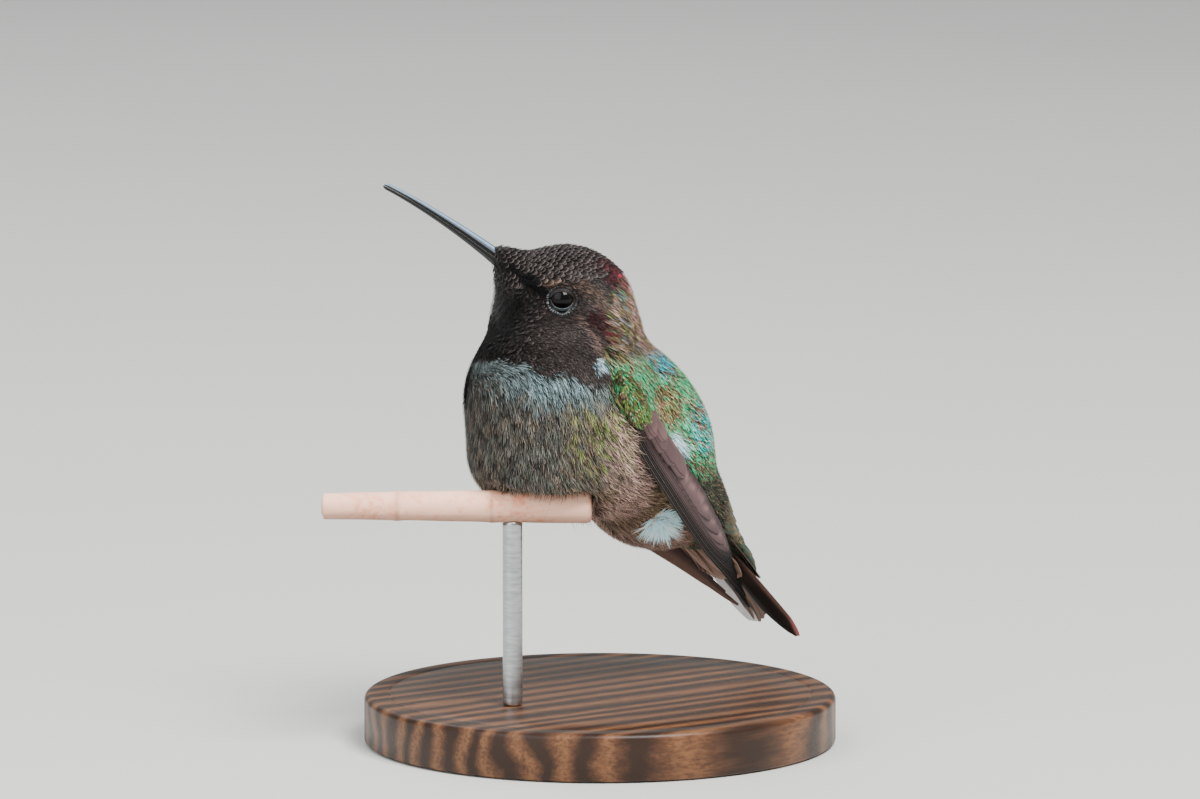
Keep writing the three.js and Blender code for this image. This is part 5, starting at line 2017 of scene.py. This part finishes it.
@dataclass
class Tail:
    """Ten tail feathers, spread a little and hung under the wing tips."""

    root: Spot = (0, 11.2, 31.6)
    drop: float = 46.5
    roll: float = 6.0
    spread: float = 8.6
    lengths: tuple[float, ...] = (25.0, 25.8, 26.8, 27.6, 27.6)
    halves: tuple[float, ...] = (2.3, 2.4, 2.3, 2.0, 1.6)
    layer: float = 0.22
    bow: float = 0.5
    thick: float = 0.12

    @property
    def axes(self) -> tuple[Array, Array, Array]:
        """The directions down the tail, out of its upper side, and to its left before it is rolled."""
        d = math.radians(self.drop)
        down = np.array([0, math.cos(d), -math.sin(d)])
        return down, np.array([0, math.sin(d), math.cos(d)]), np.array([1.0, 0, 0])

    def feathers(self) -> Piece:
        """All tail feathers.

        Returns:
            The piece. Feather n of a side stands spread x (n + 0.5) / 5 from the middle and lies
            layer x n under it; its middle line is a parabola that bows by half of bow.
        """
        along, face0, side0 = self.axes
        r = math.radians(self.roll)
        face = face0 * math.cos(r) + np.cross(along, face0) * math.sin(r)
        aside = side0 * math.cos(r) + np.cross(along, side0) * math.sin(r)
        t, fan = rows_of(60), Fan()
        for side in Side:
            for n in range(5):
                share, hand = (n + 0.5) / 5, side.value
                way = math.radians((self.spread + (2.0 if side is Side.LEFT else 0)) * share) * hand
                start = np.array(self.root) + aside * (0.25 + 0.7 * share) * hand - face * n * self.layer
                line = along * math.cos(way) + aside * math.sin(way)
                centre = start + line * (self.lengths[n] * t)[:, None]
                centre = centre + face * (2 * t * (1 - t) * self.bow)[:, None]
                tilt = np.broadcast_to(unit(face - aside * 0.3 * share), centre.shape)
                width = self.halves[n] * mix(0.35, 1, ramp(t * 1.6, 0, 1))
                width = width * np.sqrt(np.clip((1.008 - t) * 8, 0.01, 1))
                shaft = 0.15 * n * hand
                feather = blade(centre, tilt, width, self.thick, 0.12, shaft)
                fan.add(feather, self.tint(n, side, feather[2], shaft))
        return fan.piece("tail_feathers_long")

    @staticmethod
    def tint(n: int, side: Side, where: Array, shaft: float) -> Array:
        """One tail feather's colours: slate green, then black, with pale tips on the outer ones.

        Args:
            n: the feather's pair, counted from the middle.
            side: the bird's own side.
            where: shares across and along the vane, and 1 on its underside.
            shaft: how far across the vane its shaft runs.

        Returns:
            One colour for each point.
        """
        x, t = -where[:, 0:1] * side.value, where[:, 1:2]
        green, black = srgb(70, 78, 64), srgb(26, 22, 22)
        tint = mix(green + 0 * x, srgb(58, 50, 46), ramp(x, 0.2, 1) * 0.6)
        if n >= 2:
            root = srgb(56, 46, 42) if side is Side.LEFT else srgb(142, 114, 98)
            tint = mix(root + 0 * x, black, ramp(t, 0.42, 0.62))
            if side is Side.LEFT:
                tint = mix(tint, srgb(138, 104, 94), ramp(x, 0.35, 0.75) * ramp(t, 0.3, 0.6) * 0.7)
                tint = mix(tint, srgb(206, 118, 118), ramp(t + 0.2 * x, 0.9, 1.0) * 0.8 * (n >= 3))
            else:
                tint = mix(tint, srgb(156, 124, 106), ramp(-x, 0.2, 0.6) * 0.8)
                streak = ramp(x + 0.9 * t, 0.5, 0.62) * ramp(t, 0.44, 0.52)
                tint = mix(tint, srgb(255, 255, 255), streak * (n >= 3))
        return mix(tint, srgb(36, 28, 26), bell(where[:, 0:1] - shaft, 0.05))

    def coverts(self, name: str, rise: float, first: float, length: float, tints: tuple) -> Piece:
        """Long coverts that lie over or under the tail's root.

        Args:
            name: the piece's name.
            rise: millimetres over the tail's own plane; below zero under it.
            first: millimetres from the tail's root to the first of them.
            length: their length.
            tints: their vane, middle and edge colours.

        Returns:
            The piece: four blades on each side of the middle.
        """
        along, face, aside = self.axes
        vane, middle, edge = tints
        t, lift = np.linspace(0, 1, 40), math.copysign(1, rise)
        fan, rng = Fan(), np.random.default_rng(47)
        for n in range(4):
            for side in Side:
                hand = side.value
                start = np.array(self.root) + along * (first + 0.8 * n) + aside * (0.4 + 0.72 * n) * hand
                start = start + face * (rise - 0.22 * n * lift)
                way = unit(along + aside * (0.03 + 0.035 * n) * hand - face * 0.055 * lift)
                centre = start + way * ((length - 0.9 * n) * t)[:, None] + face * (t * (1 - t) * 0.6)[:, None]
                width = 1.6 * mix(0.5, 1, ramp(t, 0, 0.5)) * np.sqrt(np.clip((1.01 - t) * 4, 0.02, 1))
                tilt = np.broadcast_to(unit(face + aside * 0.3 * hand * lift), centre.shape)
                feather = blade(centre, tilt, width, self.thick, 0.2, 0.0)
                x, row = feather[2][:, 0:1], feather[2][:, 1:2]
                tint = mix(vane + 0 * x, edge * 0.8, ramp(row, 0.5, 0.75))
                tint = mix(tint, middle, bell(x, 0.35) * ramp(row, 0.2, 0.6))
                tint = mix(tint, edge, np.maximum(ramp(np.abs(x), 0.75, 0.95), ramp(row, 0.92, 0.98)))
                fan.add(feather, tint * rng.uniform(0.85, 1.15))
        return fan.piece(name)

    def over_and_under(self) -> list[Piece]:
        """Slate-green coverts over the tail and soft brown ones under it."""
        green = (srgb(64, 70, 58), srgb(50, 54, 46), srgb(104, 90, 80))
        brown = (srgb(132, 108, 96), srgb(78, 64, 56), srgb(172, 144, 132))
        return [
            self.coverts("uppertail_coverts", 1.4, 2.5, 15.5, green),
            self.coverts("undertail_coverts", -3.2, 2.0, 13.5, brown),
        ]
# ---------------------------------------------------------------- feet, twig and stand


@dataclass
class Feet:
    """Two small feet round the twig: three toes over its front and one behind, each with a claw."""

    perch: Perch
    middle: float = -7.4
    apart: float = 7.2
    toe: float = 0.42
    toes: tuple[tuple[float, float], ...] = ((-1.25, 30.0), (0.0, 34.0), (1.25, 30.0), (0.0, -100.0))

    def parts(self) -> tuple[Piece, Piece]:
        """The toes as one piece and the claws as another."""
        skin, horn = [], []
        for side in Side:
            along = self.middle + side.value * self.apart / 2
            for aside, reach in self.toes:
                t = np.linspace(0, 1, 40)
                place = along + aside * np.sqrt(t)
                knuckle = 1 + 0.16 * np.cos(t * np.pi * 6) ** 2
                path = self.perch.round(place, reach * t, self.toe + 0.12 + 0.12 * (1 - t))
                skin.append(tube(sweep(path, self.toe * knuckle * mix(1, 0.72, t), 14)))
                past = np.linspace(reach, reach + np.sign(reach) * 9, 24)
                path = self.perch.round(np.full(24, place[-1]), past, mix(0.5, 0.12, t[:24] / t[23]))
                horn.append(tube(sweep(path, mix(0.17, 0.04, np.linspace(0, 1, 24) ** 0.8), 10, flat=1.3)))
            ball = self.perch.round(np.array(along), 0, self.toe + 0.35)
            path = ball + np.linspace(-0.7, 0.7, 18)[:, None] * self.perch.along
            round_ball = np.sqrt(np.clip(1.03 - np.linspace(-1, 1, 18) ** 2, 0.05, 1))
            skin.append(tube(sweep(path, 0.72 * round_ball, 18)))
        points, faces = joined(skin)
        claws = joined(horn)
        dark = np.tile(srgb(44, 37, 36), (len(points), 1))
        black = np.tile(srgb(58, 50, 48), (len(claws[0]), 1))
        return Piece("toes", points, faces, {"tint": dark}), Piece("claws", *claws, {"tint": black})


@dataclass
class Stand:
    """The twig on its rod and round base."""

    perch: Perch
    rod_radius: float = 1.25
    rod_along: float = -11.0
    base_radius: float = 30.0
    base_thick: float = 6.0
    chamfer: float = 0.8
    seat: float = 0.12

    def twig(self) -> Piece:
        """The twig: a tapering round, swollen at two old knots, with softly worn ends.

        Its radius is multiplied by 1 + 0.025 sin(3 x turn + 1) + noise of waves along it.
        """
        rows, sides = 240, 72
        t = np.linspace(0, 1, rows)
        along = mix(self.perch.end - self.perch.length, self.perch.end, t)
        end = np.sqrt(np.clip(1 - np.maximum(0, (t - 0.972) / 0.028) ** 2.2, 0.02, 1)) * 0.35 + 0.65
        end = end * np.where(t > 0.999, 0.75, 1.0) * np.sqrt(np.clip(t * 120, 0.3, 1))
        knots = 1 + 0.05 * bell(t - 0.28, 0.018) + 0.035 * bell(t - 0.63, 0.014)
        turn = circle(sides)
        down, around = t[:, None], turn[None]
        waves = 1 + 0.012 * np.sin(3 * around + 9 * down) + 0.008 * np.sin(7 * around - 31 * down)
        radius = (self.perch.radius(along) * 0.985 * end * knots)[:, None] * waves
        up = UP
        ring = np.cos(turn)[None, :, None] * self.perch.front + np.sin(turn)[None, :, None] * up
        points, faces = tube(self.perch.at(along)[:, None] + radius[..., None] * ring)
        # Painted light: the colour factor is lighter on the top and darker underneath, as light from above
        # makes it; the knots are darker in their own colour.
        wear = 1 + 0.36 * np.sin(around) - 0.1 * (np.sin(around) < -0.5)
        wear = np.broadcast_to(wear, radius.shape)
        knot = 1 - 0.25 * (bell(t - 0.28, 0.01) + bell(t - 0.63, 0.008))[:, None]
        wear = np.append((wear * knot).ravel(), [0.8, 0.85])
        return Piece("twig", points, faces, {}, {"wear": wear})

    @staticmethod
    def lathe(profile: list[tuple[float, float]], centre: Array, sides: int) -> Mesh:
        """A profile of (radius, height) turned about an upright through a centre."""
        turn = circle(sides)
        r, z = np.array(profile).T
        ring = np.stack([np.cos(turn), np.sin(turn), 0 * turn], -1)
        return tube(centre + r[:, None, None] * ring[None] + z[:, None, None] * UP)

    def rod(self) -> Piece:
        """The steel rod: a plain round bar whose top is cut to the twig's underside."""
        top = self.perch.at(np.array(self.rod_along))
        low = self.base_thick + self.seat
        rows, sides = 60, 48
        turn = circle(sides)
        ring = self.rod_radius * np.stack([np.cos(turn), np.sin(turn), 0 * turn], -1)
        off = ring @ self.perch.front
        r = float(self.perch.radius(self.rod_along)) + self.seat
        high = self.perch.height - np.sqrt(np.maximum(r * r - off**2, 0))
        t = np.concatenate([[0.0], np.linspace(0.006, 1, rows)])[:, None]
        z = mix(low, high[None, :], t)
        inset = np.where(t < 0.003, 0.94, 1.0)
        points = np.stack([top[0] + ring[None, :, 0] * inset, top[1] + ring[None, :, 1] * inset, z], -1)
        return Piece("stand_rod_steel", *tube(points))

    def base(self) -> Piece:
        """The wooden disc, with a rounded upper edge and a fine turned line."""
        r, h, c = self.base_radius, self.base_thick, self.chamfer
        bend = np.linspace(0, np.pi / 2, 9)
        profile = [(r - 0.25, 0.0), (r, 0.25), (r, h - c - 0.6)]
        profile += [(r - c + c * math.cos(a), h - c + c * math.sin(a)) for a in bend]
        profile += [(r - 3.0, h), (r - 3.15, h - 0.12), (r - 3.3, h)]
        profile += [(r - 8, h), (r - 16, h), (4.0, h), (0.4, h)]
        return Piece("stand_base_wood", *self.lathe(profile, np.zeros(3), 160))


# ---------------------------------------------------------------- the studio


@dataclass
class Studio:
    """A pale floor, soft lights, and a camera that looks at the bird's left side from slightly above."""

    azimuth: float = 50.0
    elevation: float = 8.0
    distance: float = 1.0
    aim: float = 0.0436
    lens: float = 237.0

    def floor(self) -> None:
        """A wide pale floor that curves up far behind."""
        y = np.linspace(-1.6, 2.6, 60)
        z = np.where(y > 1.6, (y - 1.6) ** 2 * 1.2, 0.0)
        x = np.linspace(-2.6, 2.6, 30)
        turn = math.radians(self.azimuth)
        r, f = np.array([math.cos(turn), math.sin(turn), 0]), np.array([-math.sin(turn), math.cos(turn), 0])
        points = x[None, :, None] * r + y[:, None, None] * f + z[:, None, None] * UP
        mesh = bpy.data.meshes.new("studio_floor")
        points = points.reshape(-1, 3) - 0.0002 * UP
        mesh.from_pydata(points.tolist(), [], grid_faces(60, 30).tolist())
        s = Shader("studio_pale")
        s.link(s.ramp(s.noise(3, 2), [(0.2, srgb(214, 216, 212)), (0.8, srgb(224, 225, 222))]), "Base Color")
        s.set(Roughness=0.9)
        mesh.materials.append(s.material)
        thing = bpy.data.objects.new("studio_floor", mesh)
        bpy.context.collection.objects.link(thing)

    def hang(
        self, name: str, data: bpy.types.ID, azimuth: float, elevation: float, away: float
    ) -> bpy.types.Object:
        """Hangs a lamp or a camera round the bird, looking at it.

        Args:
            name: the object's name.
            data: the lamp's or the camera's own data.
            azimuth: degrees round the upright from straight ahead.
            elevation: degrees above the level.
            away: metres from the bird.

        Returns:
            The object.
        """
        thing = bpy.data.objects.new(name, data)
        a, e = math.radians(azimuth), math.radians(elevation)
        way = Vector((math.sin(a) * math.cos(e), -math.cos(a) * math.cos(e), math.sin(e)))
        thing.location = way * away + Vector((0, 0, self.aim))
        thing.rotation_euler = way.to_track_quat("Z", "Y").to_euler()
        bpy.context.collection.objects.link(thing)
        return thing

    def lights(self) -> None:
        """A broad key from above and ahead, a fill by the camera, and a rim from behind."""
        lamps = (
            ("key", 34, 52, 23, 0.5, (1.0, 0.98, 0.95)),
            ("fill", -42, 26, 9, 1.0, (0.94, 0.98, 1.0)),
            ("rim", -150, 50, 4, 0.7, (1.0, 1.0, 1.0)),
        )
        for name, aside, elevation, power, size, colour in lamps:
            data = bpy.data.lights.new(name, "AREA")
            data.energy, data.size, data.color = power, size, colour
            self.hang(name, data, self.azimuth + aside, elevation, 1.1)
        world = bpy.data.worlds.new("studio_air")
        world.use_nodes = True
        air = world.node_tree.nodes["Background"].inputs
        air["Color"].default_value = (0.86, 0.9, 0.92, 1)
        air["Strength"].default_value = 0.42
        bpy.context.scene.world = world

    def camera(self) -> None:
        """The camera: a long lens on the bird's left side."""
        data = bpy.data.cameras.new("camera")
        data.lens, data.sensor_width = self.lens, 36.0
        data.clip_start, data.clip_end = 0.05, 20.0
        scene = bpy.context.scene
        scene.camera = self.hang("camera", data, self.azimuth, self.elevation, self.distance)


def main() -> None:
    """Builds the studio, then the bird from the skin outwards, then its perch and stand."""
    logging.basicConfig(level=logging.INFO, format="%(name)s %(message)s")
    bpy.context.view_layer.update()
    studio = Studio()
    studio.camera()
    studio.floor()
    studio.lights()

    head, sheet = Head(), WingSheet()
    form = Form(head=head, wing=sheet)
    marks = Markings(head, sheet)
    body = Body(form, marks)
    flesh = ("head", "neck", "trunk", "leg_left", "leg_right")
    body.skin().build(Plumage("skin_down", 0.8, 0.35, 0.3).make(), "body_coat", flesh)
    finishes: dict[str, Material] = {}
    for seed, patch in enumerate(body.patches(), 11):
        if patch.finish.name not in finishes:
            finishes[patch.finish.name] = patch.finish.make()
        body.grow(patch, seed).build(finishes[patch.finish.name], "body_coat")
    for tuft in body.puffs():
        tuft.build(finishes["soft_plumage"], "body_coat")

    bill, horn = Bill(head), Horn().make()
    bill.half(True).build(horn, "bill", ("bill_upper",))
    bill.half(False).build(horn, "bill", ("bill_lower",))
    eyes, wet, bare = Eyes(head, form), Eyeball().make(), BareSkin("lid_skin", 5200, 0.4).make()
    wings, vane = Wings(sheet, marks), Vane("wing_vane").make()
    for side in Side:
        word = side.word
        eyes.ball(side).build(wet, "eye", (f"eye_{word}",))
        eyes.lid(side).build(bare, "eye")
        eyes.fringe(side).build(bare, "eye")
        wings.flight(side).build(vane, "wing_feathers", (f"wing_{word}_primaries",))
        wings.inner(side).build(vane, "wing_feathers", (f"wing_{word}_secondaries",))
        mound, coverts = wings.coverts(side)
        mound.build(finishes["gleaming_plumage"], "wing_coverts", (f"wing_{word}_arm",))
        coverts.build(finishes["gleaming_plumage"], "wing_coverts")
    tail, soft = Tail(), Vane("tail_vane", 90, 0.5).make()
    tail.feathers().build(soft, "tail_feathers", ("tail",))
    for covert in tail.over_and_under():
        covert.build(soft, "tail_feathers")

    toes, claws = Feet(form.perch).parts()
    toes.build(BareSkin("toe_skin").make(), "foot_skin", ("foot_left", "foot_right"))
    claws.build(Horn("claw_horn").make(), "foot_skin")
    stand = Stand(form.perch)
    stand.twig().build(PeeledTwig().make(), "twig", ("perch",))
    stand.rod().build(BrushedSteel().make(), "stand_rod", ("stand_rod",))
    stand.base().build(TurnedWood().make(), "stand_base", ("stand_base",))

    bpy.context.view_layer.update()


if __name__ == "__main__":
    main()
